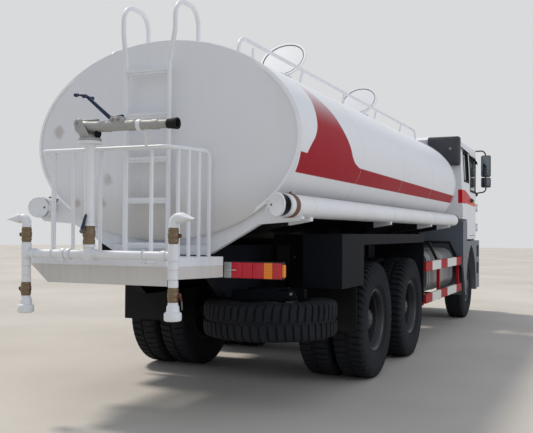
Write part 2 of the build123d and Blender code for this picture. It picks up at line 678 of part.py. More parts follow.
with BuildPart() as railing:
    bent_tube([(left_end_x, fence_left, deck_z), (left_end_x, fence_left, rail_z), (fence_x, fence_left, rail_z),
               (fence_x, fence_right, rail_z), (end_x, fence_side(end_x), rail_z),
               (end_x, fence_side(end_x), deck_z)], rail_tube_r, 60)
    for y in rear_post_y:
        rod((fence_x, y, deck_z), (fence_x, y, rail_z), post_r)
    for x in side_post_x:
        rod((x, fence_side(x), deck_z), (x, fence_side(x), rail_z), post_r)
    rod((fence_x, -200, rail_z), (pipe_x + 25, -280, cannon_z - cannon_r - 24), post_r)
save(railing.part, "railing")

# Spray pipes across the rear, each end with valves, a nozzle and a shower head
with BuildPart() as rear_pipes:
    rod((pipe_x, pipe_right, pipe_z), (pipe_x, pipe_left, pipe_z), pipe_r)
    for y, out in ((pipe_right, -1), (pipe_left, 1)):
        rod((pipe_x, y, shower_z + 60), (pipe_x, y, 1490), 34)
        rod((pipe_x, y, 1326), (pipe_x, y, 1440), 42)
        rod((pipe_x, y, 1207), (pipe_x, y, 1324), 43)
        rod((pipe_x, y, 915), (pipe_x, y, 1018), 42)
        rod((pipe_x, y, shower_z), (pipe_x, y, shower_z + 60), shower_r)
        rod((pipe_x, y, shower_z + 60), (pipe_x, y, shower_z + 105), 55)
        with Locations((pipe_x, y, 1505)):
            Sphere(42)
        with BuildSketch(Plane((pipe_x, y, 1505), x_dir=(1, 0, 0), z_dir=(0, out, -0.09))) as root:
            Circle(38)
        with BuildSketch(Plane((pipe_x, y + out * 172, 1489), x_dir=(1, 0, 0), z_dir=(0, out, -0.09))) as tip:
            Circle(10)
        loft([root.sketch.face(), tip.sketch.face()])
    rod((pipe_x, riser_y, pipe_z), (pipe_x, riser_y, flange_z - 20), riser_r)
    rod((pipe_x, riser_y, 1292), (pipe_x, riser_y, 1449), 46)
    rod((pipe_x, riser_y, flange_z - 20), (pipe_x, riser_y, flange_z), flange_r)
    for y in (-300, 500):
        block(pipe_x, deck_rear_x - deck_lip, y - 20, y + 20, pipe_z - 60, pipe_z - 20)
        block(pipe_x - 20, pipe_x + 20, y - 20, y + 20, pipe_z - 60, pipe_z)
save(rear_pipes.part, "rear_pipes")

# Water cannon: a swivel with two cheeks, and a barrel that nods between them
cheek_x = 48
with BuildPart() as cannon_swivel:
    rod((pipe_x, riser_y, flange_z + running_gap), (pipe_x, riser_y, flange_z + 20), flange_r)
    rod((pipe_x, riser_y, flange_z + 20), (pipe_x, riser_y, flange_z + 46), 45)
    for side in (-1, 1):
        x = pipe_x + side * (cheek_x + 8)
        with BuildSketch(Plane.YZ.offset(x - 8)) as cheek:
            Polygon((riser_y - 40, flange_z + 20), (riser_y + 40, flange_z + 20), (nod_y + 40, cannon_z),
                    (nod_y + 28, cannon_z + 28), (nod_y, cannon_z + 40), (nod_y - 30, cannon_z + 28), align=None)
        extrude(cheek.sketch, amount=16)
    rod((pipe_x - cheek_x - 20, nod_y, cannon_z), (pipe_x + cheek_x + 20, nod_y, cannon_z), 14 + running_gap,
        mode=Mode.SUBTRACT)
save(cannon_swivel.part, "cannon_swivel")
with BuildPart() as cannon_barrel:
    with Locations((pipe_x, nod_y, cannon_z)):
        Sphere(42)
    rod((pipe_x - cheek_x - 16, nod_y, cannon_z), (pipe_x + cheek_x + 16, nod_y, cannon_z), 14)
    rod((pipe_x, nod_y + 76, cannon_z), (pipe_x, -50, cannon_z), 36)
    rod((pipe_x, -50, cannon_z), (pipe_x, cannon_end + 70, cannon_z), cannon_r)
    rod((pipe_x, cannon_end + 70, cannon_z), (pipe_x, cannon_end, cannon_z), 36)
    rod((pipe_x, 0, cannon_z), (pipe_x, 300, cannon_z + 230), 9)
save(cannon_barrel.part, "cannon_barrel")

# Front fenders: an arch band, an outer panel and a step box
fender_y = 800
front_panel_y = half_width - 75
panel_step_x = front_axle_x + 60
step_x = (front_axle_x + arch_r + 8, front_x - 355)
with BuildPart() as front_fenders:
    with BuildSketch(Plane.XZ.offset(fender_y)) as band:
        with Locations((front_axle_x, tyre_r)):
            Circle(arch_r + 30)
            Circle(arch_r, mode=Mode.SUBTRACT)
        with Locations((front_axle_x, 430)):
            Rectangle(2000, 1000, align=(Align.CENTER, Align.MAX), mode=Mode.SUBTRACT)
    extrude(band.sketch, amount=half_width - 10 - fender_y)
    with BuildSketch(Plane.XZ.offset(half_width - 40)) as panel:
        Polygon((front_axle_x - 1000, 900), (front_axle_x - 760, 430), (step_x[0] + 102, 430),
                (step_x[0] + 102, 1290), (front_axle_x - 620, 1290), (front_axle_x - 620, 1600),
                (front_axle_x - 980, 1600), align=None)
        with Locations((front_axle_x, tyre_r)):
            Circle(arch_r, mode=Mode.SUBTRACT)
    extrude(panel.sketch, amount=30)
    block(panel_step_x, front_x, -half_width - 1, -front_panel_y, 400, 1700, mode=Mode.SUBTRACT)
    with BuildSketch(Plane.XZ.offset(front_panel_y - 30)) as front_panel:
        Polygon((panel_step_x, 430), (step_x[0] + 102, 430), (step_x[0] + 102, 1290), (panel_step_x, 1290),
                align=None)
        with Locations((front_axle_x, tyre_r)):
            Circle(arch_r, mode=Mode.SUBTRACT)
    extrude(front_panel.sketch, amount=30)
    block(front_axle_x - 1000, front_axle_x - 960, -half_width + 10, -560, 900, 1600)
    block(*step_x, -front_panel_y, -fender_y, 450, 1290)
    for z in (700, 1000):
        block(step_x[0] + 82, step_x[1] - 50, -front_panel_y - 5, -front_panel_y + 160, z, z + 200,
              mode=Mode.SUBTRACT)
    block(step_x[1] - 180, step_x[1] - 120, -fender_y, -rail_y, 1000, 1100)
    block(front_axle_x - 1000, front_axle_x - 960, -560, -rail_y, 900, 1100)
    mirror(about=Plane.XZ)
save(front_fenders.part, "front_fenders")

# Knuckles: a fork round the axle eye, a spindle and a steering arm
tie_z = beam_z - tie_drop
for name, side in (("right", -1), ("left", 1)):
    with BuildPart() as knuckle:
        y = side * kingpin_y
        with Locations((front_axle_x, y, beam_z)):
            Cylinder(kingpin_r, eye_h + 60)
        for z in (beam_z - eye_h / 2 - 33, beam_z + eye_h / 2 + 3):
            with Locations((front_axle_x, y, z + 15)):
                Cylinder(58, 30)
            block(front_axle_x - 50, front_axle_x + 50, y, y + side * 90, z, z + 30)
        block(front_axle_x - 55, front_axle_x + 55, y + side * 66, y + side * 96, beam_z - 93, beam_z + 93)
        rod((front_axle_x, y + side * 90, tyre_r), (front_axle_x, side * (front_track_y + 110), tyre_r), spindle_r)
        with BuildSketch(Plane.XY.offset(tie_z - 3)) as arm:
            Polygon((front_axle_x + 20, y), (front_axle_x - 20, y + 35), (front_axle_x - tie_arm, y + 22),
                    (front_axle_x - tie_arm, y - 22), (front_axle_x - 20, y - 35), align=None)
        extrude(arm.sketch, amount=25)
        rod((front_axle_x - tie_arm, y, tie_z - 20), (front_axle_x - tie_arm, y, tie_z + 22), 26)
        rod((front_axle_x - tie_arm, y, tie_z - 30), (front_axle_x - tie_arm, y, tie_z + 30), 10.3,
            mode=Mode.SUBTRACT)
    save(knuckle.part, f"knuckle_{name}")

# Tie rod with a ball pin at each end
with BuildPart() as tie_rod:
    rod((front_axle_x - tie_arm, -kingpin_y, tie_z - 43), (front_axle_x - tie_arm, kingpin_y, tie_z - 43), 18)
    for y in (-kingpin_y, kingpin_y):
        rod((front_axle_x - tie_arm, y, tie_z - 65), (front_axle_x - tie_arm, y, tie_z - 21), 24)
        rod((front_axle_x - tie_arm, y, tie_z - 30), (front_axle_x - tie_arm, y, tie_z + 20), 10)
save(tie_rod.part, "tie_rod")


def front_wheel(side):
    """A front wheel: tyre, rim and hub on its spindle."""
    y = side * front_track_y
    w = tyre_w / 2
    with BuildPart() as wheel:
        spin_about_y(tyre_outline(y), front_axle_x, tyre_r)
        spin_about_y([(y - w + 40, rim_well_r), (y - w + 40, rim_r), (y + w - 40, rim_r), (y + w - 40, rim_well_r)],
                     front_axle_x, tyre_r)
        disc = y + side * 60
        spin_about_y([(disc, 60), (disc + side * 20, 60), (disc + side * 20, rim_well_r + 5), (disc, rim_well_r + 5)],
                     front_axle_x, tyre_r)
        rod((front_axle_x, y + side * 10, tyre_r), (front_axle_x, y + side * 155, tyre_r), 95)
        rod((front_axle_x, y, tyre_r), (front_axle_x, y + side * 112, tyre_r), spindle_r + running_gap,
            mode=Mode.SUBTRACT)
    return wheel.part


def rear_wheel(x, side):
    """A twin rear wheel: two tyres, two rims, a drum and the hub's end."""
    w = tyre_w / 2
    with BuildPart() as wheel:
        for offset_y in (-twin_pitch / 2, twin_pitch / 2):
            y = side * (rear_track_y + offset_y)
            spin_about_y(tyre_outline(y), x, tyre_r)
            spin_about_y([(y - w + 40, rim_well_r), (y - w + 40, rim_r), (y + w - 40, rim_r),
                          (y + w - 40, rim_well_r)], x, tyre_r)
        middle = side * rear_track_y
        dish = [(12, 100), (12, 200), (75, rim_well_r - 5), (75, rim_r), (-75, rim_r), (-75, rim_well_r - 5),
                (-12, 200), (-12, 100)]
        spin_about_y([(middle + w_off, r) for w_off, r in dish], x, tyre_r)
        rod((x, middle - side * 290, tyre_r), (x, middle + side * 190, tyre_r), 150)
        rod((x, middle + side * 170, tyre_r), (x, middle + side * 260, tyre_r), 115)
        rod((x, middle - side * 300, tyre_r), (x, middle + side * 82, tyre_r), rear_spindle_r + running_gap,
            mode=Mode.SUBTRACT)
    return wheel.part


for name, side in (("right", -1), ("left", 1)):
    save(front_wheel(side), f"front_wheel_{name}")
    save(rear_wheel(mid_axle_x, side), f"middle_wheels_{name}")
    save(rear_wheel(rear_axle_x, side), f"rear_wheels_{name}")


def cab_volume(inset):
    """The cab's outer form, or its inside with an inset."""
    with BuildPart() as volume:
        with BuildSketch(Plane.XZ) as side:
            with BuildLine():
                Polyline(
                    (cab_rear_x, cab_deck_z), (cab_rear_x, cab_roof_z - 60), (cab_rear_x + 150, cab_roof_z),
                    (cab_front_x - 610, cab_roof_z), (cab_front_x - 320, cab_roof_z - 85),
                    (cab_front_x - 45, 1950), (cab_front_x, cab_nose_z), (cab_nose_x, cab_nose_z),
                    (cab_nose_x, cab_floor_z), (cab_deck_x, cab_floor_z), (cab_deck_x, cab_deck_z), close=True,
                )
            make_face()
            if inset:
                offset(amount=-inset, kind=Kind.INTERSECTION)
        extrude(side.sketch, amount=1500, both=True)
        with BuildSketch(Plane.YZ) as front:
            with BuildLine():
                Polyline(
                    (-half_width, 900), (-half_width, 1750), (-half_width + 35, 2500), (-half_width + 60, cab_roof_z - 95),
                    (-cab_nose_y, cab_roof_z), (cab_nose_y, cab_roof_z), (half_width - 60, cab_roof_z - 95),
                    (half_width - 35, 2500), (half_width, 1750), (half_width, 900), close=True,
                )
            make_face()
            if inset:
                offset(amount=-inset, kind=Kind.INTERSECTION)
        extrude(front.sketch, amount=6000, mode=Mode.INTERSECT)
        with BuildSketch(Plane.XY) as plan:
            with BuildLine() as rim:
                Polyline(
                    (cab_rear_x, -half_width), (cab_front_x - 810, -half_width + 50), (cab_front_x - 110, -cab_nose_y),
                    (cab_front_x, 0), (cab_front_x - 110, cab_nose_y), (cab_front_x - 810, half_width - 50),
                    (cab_rear_x, half_width), close=True,
                )
            make_face()
            fillet(plan.vertices().group_by(Axis.X)[-2], 220)
            if inset:
                offset(amount=-inset, kind=Kind.INTERSECTION)
        extrude(plan.sketch, amount=4000, mode=Mode.INTERSECT)
        tunnel = tunnel_y + inset
        block(cab_deck_x - 1 - inset, cab_nose_x + inset, -tunnel, tunnel, 0, cab_deck_z + inset, mode=Mode.SUBTRACT)
    return volume.part


def side_zone(points, inset=0):
    """A tall zone with an outline in X and Z, right across the cab."""
    with BuildPart() as zone:
        with BuildSketch(Plane.XZ) as outline:
            Polygon(*points, align=None)
            if inset:
                offset(amount=-inset, kind=Kind.INTERSECTION)
        extrude(outline.sketch, amount=1500, both=True)
    return zone.part


cab_outer = cab_volume(0)
cab_inner = cab_volume(cab_wall)
far_x = front_x + 500
door_points = [
    (door_rear_x, door_sill_z), (door_rear_x, door_top_z), (door_front_x - 110, door_top_z),
    (door_front_x, 1950), (door_front_x, door_sill_z),
]
door_window = [
    (door_rear_x + 75, waist_z), (door_rear_x + 75, door_top_z - 50), (door_front_x - 195, door_top_z - 50),
    (door_front_x - 110, waist_z),
]
quarter_window = [
    (cab_rear_x + 270, waist_z + 130), (cab_rear_x + 270, door_top_z - 20), (door_rear_x - 110, door_top_z - 20),
    (door_rear_x - 110, waist_z + 130),
]
front_zone = [
    (cab_nose_x, 1000), (cab_nose_x, cab_floor_z), (cab_nose_x - 15, 1950), (pillar_x, cab_cant_z),
    (far_x, cab_cant_z), (far_x, 1000),
]
rear_zone = [
    (cab_rear_x - 10, 1000), (cab_rear_x + cab_wall, 1000), (cab_rear_x + cab_wall, cab_cant_z),
    (cab_rear_x - 10, cab_cant_z),
]
middle_zone = [
    (cab_rear_x + cab_wall, 1000), (cab_rear_x + cab_wall, cab_cant_z), (pillar_x, cab_cant_z),
    (cab_nose_x - 15, 1950), (cab_nose_x, cab_floor_z), (cab_nose_x, 1000),
]
roof_zone = [(cab_rear_x - 10, cab_cant_z), (cab_rear_x - 10, 3100), (far_x, 3100), (far_x, cab_cant_z)]
screen_half = half_width - 240
screen_z = (2020, cab_roof_z - 225)
floor_half = half_width - 210

with BuildPart() as cab_roof:
    add(cab_outer)
    add(cab_inner, mode=Mode.SUBTRACT)
    add(side_zone(roof_zone), mode=Mode.INTERSECT)
save(cab_roof.part, "cab_roof")

with BuildPart() as cab_rear_wall:
    add(cab_outer)
    add(cab_inner, mode=Mode.SUBTRACT)
    add(side_zone(rear_zone), mode=Mode.INTERSECT)
save(cab_rear_wall.part, "cab_rear_wall")

grille_z = (1250, 1390, 1530, 1670)
with BuildPart() as grille_slots:
    add(cab_outer)
    add(cab_volume(25), mode=Mode.SUBTRACT)
    with BuildPart(mode=Mode.INTERSECT):
        for z in grille_z:
            block(cab_front_x - 200, far_x, -cab_nose_y + 280, cab_nose_y - 280, z, z + 80)
with BuildPart() as cab_front:
    add(cab_outer)
    add(cab_inner, mode=Mode.SUBTRACT)
    add(side_zone(front_zone), mode=Mode.INTERSECT)
    block(cab_front_x - 510, far_x, -screen_half, screen_half, *screen_z, mode=Mode.SUBTRACT)
    add(grille_slots.part, mode=Mode.SUBTRACT)
    for y in (-380, 380):
        block(cab_pivot[0] - 28, cab_pivot[0] + 28, y - 25, y + 25, cab_pivot[1] - 28, cab_nose_z + 5)
        rod((cab_pivot[0], y - 30, cab_pivot[1]), (cab_pivot[0], y + 30, cab_pivot[1]), cab_pin_r + running_gap,
            mode=Mode.SUBTRACT)
save(cab_front.part, "cab_front")

with BuildPart() as cab_floor:
    add(cab_outer)
    add(cab_inner, mode=Mode.SUBTRACT)
    add(side_zone(middle_zone), mode=Mode.INTERSECT)
    block(cab_rear_x, far_x, -floor_half, floor_half, 1000, 1760, mode=Mode.INTERSECT)
save(cab_floor.part, "cab_floor")

with BuildPart() as cab_sides:
    add(cab_outer)
    add(cab_inner, mode=Mode.SUBTRACT)
    add(side_zone(middle_zone), mode=Mode.INTERSECT)
    block(cab_rear_x, far_x, -floor_half, floor_half, 1000, 3100, mode=Mode.SUBTRACT)
    add(side_zone(door_points), mode=Mode.SUBTRACT)
    add(side_zone(quarter_window), mode=Mode.SUBTRACT)
    for z in hinge_z:
        for z0 in (z - 70, z + 30.3):
            rod((door_front_x, -hinge_y, z0), (door_front_x, -hinge_y, z0 + 39.7), hinge_r)
            rod((door_front_x, hinge_y, z0), (door_front_x, hinge_y, z0 + 39.7), hinge_r)
            block(door_front_x, door_front_x + 70, -hinge_y - 4, -hinge_y + 50, z0, z0 + 39.7)
            block(door_front_x, door_front_x + 70, hinge_y - 50, hinge_y + 4, z0, z0 + 39.7)
save(cab_sides.part, "cab_sides")

# Doors, each cut from the cab's own wall and hung on two knuckles
with BuildPart() as door:
    add(cab_outer)
    add(cab_inner, mode=Mode.SUBTRACT)
    add(side_zone(door_points, swing_gap), mode=Mode.INTERSECT)
    add(side_zone(door_window), mode=Mode.SUBTRACT)
    block(cab_rear_x, far_x, -floor_half, 1500, 1000, 3100, mode=Mode.SUBTRACT)
    for z in hinge_z:
        rod((door_front_x, -hinge_y, z - 30), (door_front_x, -hinge_y, z + 30), hinge_r)
        block(door_front_x - 70, door_front_x, -hinge_y - 4, -hinge_y + 30, z - 30, z + 30)
save(door.part, "door_right")
with BuildPart() as door_left:
    add(mirror(door.part, about=Plane.XZ))
save(door_left.part, "door_left")

# Glass, a thin layer of the cab's own form in each opening
glass_depth = 20
glass_t = 6
glass_outer = cab_volume(glass_depth)
glass_inner = cab_volume(glass_depth + glass_t)
with BuildPart() as door_glass:
    add(glass_outer)
    add(glass_inner, mode=Mode.SUBTRACT)
    add(side_zone(door_window, running_gap), mode=Mode.INTERSECT)
    block(cab_rear_x, far_x, -floor_half, 1500, 1000, 3100, mode=Mode.SUBTRACT)
save(door_glass.part, "door_glass_right")
with BuildPart() as door_glass_left:
    add(mirror(door_glass.part, about=Plane.XZ))
save(door_glass_left.part, "door_glass_left")

with BuildPart() as quarter_glass:
    add(glass_outer)
    add(glass_inner, mode=Mode.SUBTRACT)
    add(side_zone(quarter_window, running_gap), mode=Mode.INTERSECT)
    block(cab_rear_x, far_x, -floor_half, floor_half, 1000, 3100, mode=Mode.SUBTRACT)
with BuildPart() as windscreen:
    add(glass_outer)
    add(glass_inner, mode=Mode.SUBTRACT)
    block(cab_front_x - 460, far_x, -screen_half + running_gap, screen_half - running_gap,
          screen_z[0] + running_gap, screen_z[1] - running_gap, mode=Mode.INTERSECT)
with BuildPart() as cab_glass:
    add(quarter_glass.part)
    add(windscreen.part)
save(cab_glass.part, "cab_glass")

# Seats, dashboard and steering wheel
seat_y = half_width - 490
seat_x = door_rear_x + 250
dash_x = cab_front_x - 410
dash_half = half_width - 250
with BuildPart() as seats:
    for y in (-seat_y, seat_y):
        block(seat_x, seat_x + 480, y - 240, y + 240, 1620, 1760)
        block(seat_x - 90, seat_x + 20, y - 240, y + 240, 1640, 2300)
        block(seat_x + 60, seat_x + 420, y - 180, y + 180, cab_floor_z + cab_wall, 1620)
save(seats.part, "seats")
with BuildPart() as dashboard:
    block(dash_x, cab_nose_x - 20, -dash_half, dash_half, 1760, 1980)
    block(dash_x + 90, cab_nose_x - 20, -tunnel_y + 20, tunnel_y - 20, cab_deck_z + cab_wall, 1760)
    rod((dash_x + 20, seat_y, 1850), (dash_x - 220, seat_y, 1965), 30)
    with BuildPart(Plane(origin=(dash_x - 220, seat_y, 1965), z_dir=(-230, 0, 110)), mode=Mode.PRIVATE) as wheel:
        Torus(225, 16)
        Box(440, 40, 20)
    add(wheel.part)
save(dashboard.part, "dashboard")

# Air intake on the cab's rear wall, with its duct down to the filter
intake_x = (cab_rear_x - 140, cab_rear_x)
intake_z = (cab_roof_z - 485, cab_roof_z - 35)
with BuildPart() as air_intake:
    block(*intake_x, -half_width + 35, -half_width + 530, *intake_z)
    fillet(air_intake.edges().filter_by(Axis.Z).sort_by(Axis.X)[:2], 40)
    block(intake_x[0] + 30, intake_x[1] - 10, -half_width + 330, -half_width + 520, 1700, intake_z[0])
save(air_intake.part, "air_intake")

# Mirrors on bent arms ahead of the doors
mirror_x = cab_front_x - 350
mirror_y = (-half_width - 180, -half_width - 12)
arm_y = (mirror_y[0] + mirror_y[1]) / 2
with BuildPart() as mirrors:
    block(mirror_x - 30, mirror_x + 30, *mirror_y, 2430, 2820)
    block(mirror_x - 30, mirror_x + 30, *mirror_y, 2240, 2420)
    bent_tube([(mirror_x + 10, -cab_nose_y + 20, 2780), (mirror_x + 10, arm_y, 2780), (mirror_x + 10, arm_y, 2200),
               (mirror_x + 10, -cab_nose_y, 2200)], 12, 40)
    add(cab_outer, mode=Mode.SUBTRACT)
    mirror(about=Plane.XZ)
save(mirrors.part, "mirrors")
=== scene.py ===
"""Dresses the sprinkler tanker: a finish on every part of the frame, and the pieces that it leaves plain."""
from math import atan2, cos, radians, sin, tan, tau

import bmesh
import bpy
from mathutils import Matrix, Vector


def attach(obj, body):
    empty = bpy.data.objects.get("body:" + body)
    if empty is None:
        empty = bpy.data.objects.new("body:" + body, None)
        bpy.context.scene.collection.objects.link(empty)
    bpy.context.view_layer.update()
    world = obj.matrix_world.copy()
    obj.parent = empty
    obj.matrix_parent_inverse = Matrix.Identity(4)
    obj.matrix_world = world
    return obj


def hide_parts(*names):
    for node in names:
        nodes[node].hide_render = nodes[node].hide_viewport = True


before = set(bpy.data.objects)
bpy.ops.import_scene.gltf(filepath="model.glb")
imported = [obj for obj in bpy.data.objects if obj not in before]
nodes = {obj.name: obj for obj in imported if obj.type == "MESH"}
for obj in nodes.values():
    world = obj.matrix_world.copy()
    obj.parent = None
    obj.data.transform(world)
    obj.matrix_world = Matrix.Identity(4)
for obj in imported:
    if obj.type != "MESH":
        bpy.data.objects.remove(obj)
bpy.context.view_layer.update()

# Directions, and the two sides
FORWARD, BACK, LEFT, RIGHT, UP, DOWN = (1, 0, 0), (-1, 0, 0), (0, 1, 0), (0, -1, 0), (0, 0, 1), (0, 0, -1)
SIDES = (("left", 1), ("right", -1))

# Places that the frame's source gives, in metres
REAR_AXLE, MID_AXLE, FRONT_AXLE = -2.295, -0.845, 3.655
TANK_REAR, TANK_FRONT = -4.315, 2.085
TANK_Z, TANK_A, TANK_B = 2.144, 1.216, 0.8
TYRE_R = 0.5625
REAR_TRACK, FRONT_TRACK, TWIN = 0.93, 0.99, 0.345
SPARE = Vector((-3.665, -0.70, 0.70))
PIPE_X, PIPE_Z = -5.005, 1.242
PIPE_ENDS = ((-0.545, -1), (0.749, 1))
VALVES, VALVE_ZS = ((1.326, 1.438), (0.920, 1.022)), (1.382, 0.971)
NOZZLE_Z, SHOWER_Z = 1.508, 0.790
RISER_Y = 0.17
RISER = (PIPE_X, RISER_Y, 0)
NOD_Y, CANNON_Z = 0.235, 2.195
NOD_PIN = (PIPE_X, NOD_Y, CANNON_Z)
BARREL_SAG, BARREL_WAY = 0.020, (0, -1, -0.012)
GRIP_Y, GRIP_RISE, KNOB_Y = 0.190, 0.200, 0.298
SEAMS = (-2.70, -1.10, 0.50)
HOSE_Y, HOSE_Z, BRACKETS = 1.15, 1.61, (-3.995, -1.57, 0.505, 1.785)
BAND_IN, BAND_OUT = 0.086, 0.0915
HOSE_REAR, HOSE_FRONT = -4.52, 2.313
LEFT_SHIFT = 0.16
CAP_GAP, CAP_HINGE, CAP_AJAR = 0.014, HOSE_Y - 0.099, radians(25)
NECKS = (-2.205, 0.665)
NECK_TOP, LID_OPEN = 3.066, radians(125)
DECK_REAR, DECK_Z = -4.85, 1.22
FENCE_X, FENCE_RIGHT, FENCE_FLARE, RAIL_Z = -4.825, -0.371, -0.3127, 2.03
SLEEVE_R = 0.0145
LADDER_X, LADDER_YS, RUNGS = -4.445, (-0.16, 0.24), (1.31, 1.665, 1.99, 2.34, 2.69)
CAB_REAR, DOOR_REAR, DOOR_FRONT, DOOR_TOP, WAIST = 2.555, 3.365, 4.505, 2.74, 2.13
CAB_HALF, LEAN_FROM, LEAN_TO, TAPER_TO = 1.25, 1.75, 2.5, 4.155
BUMPER_X = 4.98
ARCH_R = 0.705
FLAP_Y, FLAP_Z = (0.592, 1.236), (0.522, 1.290)
HOUSING_X, HOUSING_Z = (-4.232, -4.182), (1.047, 1.183)
LENS_X, LENS_Z, SEAM_X = (-4.249, -4.205), (1.054, 1.176), (-4.2505, -4.246)
TANK_STRAPS, BOX_STRAPS, STRAP_HALF = (0.78, 1.53, 1.62, 2.30, 2.40), (2.00, 2.40), 0.02
AIR_TANK_Z = 0.90
MIRROR_X, MIRROR_Y = 4.625, 1.311
SEAT_Y, SEAT_HALF = 0.76, 0.235

# Stains on the tank's rear end: place across, height and reach
REAR_STAINS = ((1.009, 2.259, 0.075), (0.473, 1.836, 0.08), (0.523, 1.645, 0.06), (0.799, 1.648, 0.05))

# Wheel counts
LUGS, HAND_HOLES, WHEEL_NUTS, HUB_BOLTS = 52, 10, 10, 8

# Colours used more than once
WHITE, DUST = "e2e4e8", "b3ad9d"


def linear(code):
    """A colour written as six hex digits, in the renderer's linear values."""
    parts = [int(code[k:k + 2], 16) / 255 for k in (0, 2, 4)]
    return tuple(v / 12.92 if v < 0.04045 else ((v + 0.055) / 1.055) ** 2.4 for v in parts) + (1.0,)


# Shader nodes
def fill(tree, made, inputs):
    """Links each input that is given a socket, and sets the others."""
    for name, value in inputs.items():
        if isinstance(value, bpy.types.NodeSocket):
            tree.links.new(value, made.inputs[name])
        else:
            made.inputs[name].default_value = value


def put(tree, kind, inputs=None, **settings):
    """Adds a node, sets it up, and fills or links its inputs."""
    made = tree.nodes.new("ShaderNode" + kind)
    for name, value in settings.items():
        setattr(made, name, value)
    fill(tree, made, inputs or {})
    return made


def sums(tree, operation, *values):
    """The result of one arithmetic node."""
    return put(tree, "Math", dict(enumerate(values)), operation=operation).outputs[0]


def blended(tree, factor, first, second):
    """The first colour at 0, the second at 1."""
    return put(tree, "Mix", {0: factor, 6: first, 7: second}, data_type="RGBA").outputs[2]


def span(tree, value, low, high):
    """Runs smoothly from 0 at low to 1 at high."""
    made = put(tree, "MapRange", {"Value": value, "From Min": low, "From Max": high},
               interpolation_type="SMOOTHSTEP")
    return made.outputs[0]


def speckle(tree, where, scale, detail=4.0, rough=0.55, stretch=(1, 1, 1)):
    """Noise, stretched where a scale for each axis is given."""
    spread = put(tree, "Mapping", {"Vector": where, "Scale": stretch})
    return put(tree, "TexNoise", {"Vector": spread.outputs[0], "Scale": scale, "Detail": detail,
                                  "Roughness": rough}).outputs[0]


def ranged(tree, value, least, most):
    """Turns 0 into the first result and 1 into the second, evenly."""
    return put(tree, "MapRange", {"Value": value, "To Min": least, "To Max": most}).outputs[0]


def bumped(tree, height, strength, distance, **normal):
    """The surface's normal, raised by a height."""
    inputs = {"Strength": strength, "Distance": distance, "Height": height, **normal}
    return put(tree, "Bump", inputs).outputs[0]


def place_of(tree):
    """The place on the object, which is the place in the frame."""
    return put(tree, "TexCoord").outputs["Object"]


def axis_of(tree, axis):
    """The place along X, Y or Z, numbered from 0."""
    return put(tree, "SeparateXYZ", {0: place_of(tree)}).outputs[axis]


def distance_out(tree):
    """The distance from the truck's middle plane."""
    return sums(tree, "ABSOLUTE", axis_of(tree, 1))


def new_group(name, inputs, outputs):
    """An empty effect, with its input and output nodes."""
    tree = bpy.data.node_groups.new(name, "ShaderNodeTree")
    for label, kind, value in inputs:
        tree.interface.new_socket(label, in_out="INPUT", socket_type=kind).default_value = value
    for label, kind in outputs:
        tree.interface.new_socket(label, in_out="OUTPUT", socket_type=kind)
    return tree, tree.nodes.new("NodeGroupInput"), tree.nodes.new("NodeGroupOutput")


NUMBER = "NodeSocketFloat"


def build_road_film():
    """Blotches, runs down the surface and splash near the road."""
    tree, given, result = new_group(
        "road_film", [("Film", NUMBER, 0.3), ("Runs", NUMBER, 0.3), ("Splash", NUMBER, 0.4)],
        [("Mask", NUMBER), ("Grain", NUMBER)])
    where = place_of(tree)
    blotch = span(tree, speckle(tree, where, 1.7, 7.0, 0.62), 0.42, 0.78)
    runs = span(tree, speckle(tree, where, 3.1, 5.0, 0.6, (5.5, 5.5, 0.35)), 0.5, 0.82)
    height = axis_of(tree, 2)
    ragged = sums(tree, "MULTIPLY_ADD", speckle(tree, where, 4.0, 6.0), 0.5, height)
    low = span(tree, ragged, 1.25, 0.45)
    grain = speckle(tree, where, 55.0, 5.0, 0.7)
    total = sums(tree, "MULTIPLY", blotch, given.outputs["Film"])
    total = sums(tree, "MULTIPLY_ADD", runs, given.outputs["Runs"], total)
    total = sums(tree, "MULTIPLY_ADD", low, given.outputs["Splash"], total)
    speck = sums(tree, "MULTIPLY_ADD", grain, 0.8, 0.6)
    total = put(tree, "Math", {0: total, 1: speck}, operation="MULTIPLY", use_clamp=True).outputs[0]
    fill(tree, result, {"Mask": total, "Grain": grain})
    return tree


def build_rust_spots():
    """Rust that starts in small pits and spreads along bare edges."""
    tree, given, result = new_group(
        "rust_spots", [("Amount", NUMBER, 0.3), ("Size", NUMBER, 8.0), ("Edge", NUMBER, 0.0)],
        [("Mask", NUMBER), ("Stain", NUMBER)])
    where = place_of(tree)
    coarse = put(tree, "TexNoise", {"Vector": where, "Scale": given.outputs["Size"], "Detail": 9.0,
                                    "Roughness": 0.68}).outputs[0]
    spread = sums(tree, "MULTIPLY_ADD", given.outputs["Edge"], 0.3, coarse)
    gate = sums(tree, "MULTIPLY_ADD", given.outputs["Amount"], -0.35, 0.88)
    soft = sums(tree, "SUBTRACT", gate, 0.09)
    pit = span(tree, spread, gate, sums(tree, "ADD", gate, 0.04))
    fill(tree, result, {"Mask": pit, "Stain": span(tree, spread, soft, gate)})
    return tree


def build_worn_edges():
    """Finds a form's outer edges, and softens them for the light."""
    tree, given, result = new_group(
        "worn_edges", [("Width", NUMBER, 0.006)], [("Mask", NUMBER), ("Normal", "NodeSocketVector")])
    soft = put(tree, "Bevel", {"Radius": given.outputs["Width"]}, samples=4).outputs[0]
    true = put(tree, "NewGeometry").outputs["Normal"]
    match = put(tree, "VectorMath", {0: soft, 1: true}, operation="DOT_PRODUCT").outputs["Value"]
    fill(tree, result, {"Mask": span(tree, match, 0.995, 0.85), "Normal": soft})
    return tree


ROAD_FILM, RUST_SPOTS, WORN_EDGES = build_road_film(), build_rust_spots(), build_worn_edges()


def effect(tree, group, **values):
    """One of the shared effects, with its inputs set."""
    made = tree.nodes.new("ShaderNodeGroup")
    made.node_tree = group
    fill(tree, made, values)
    return made


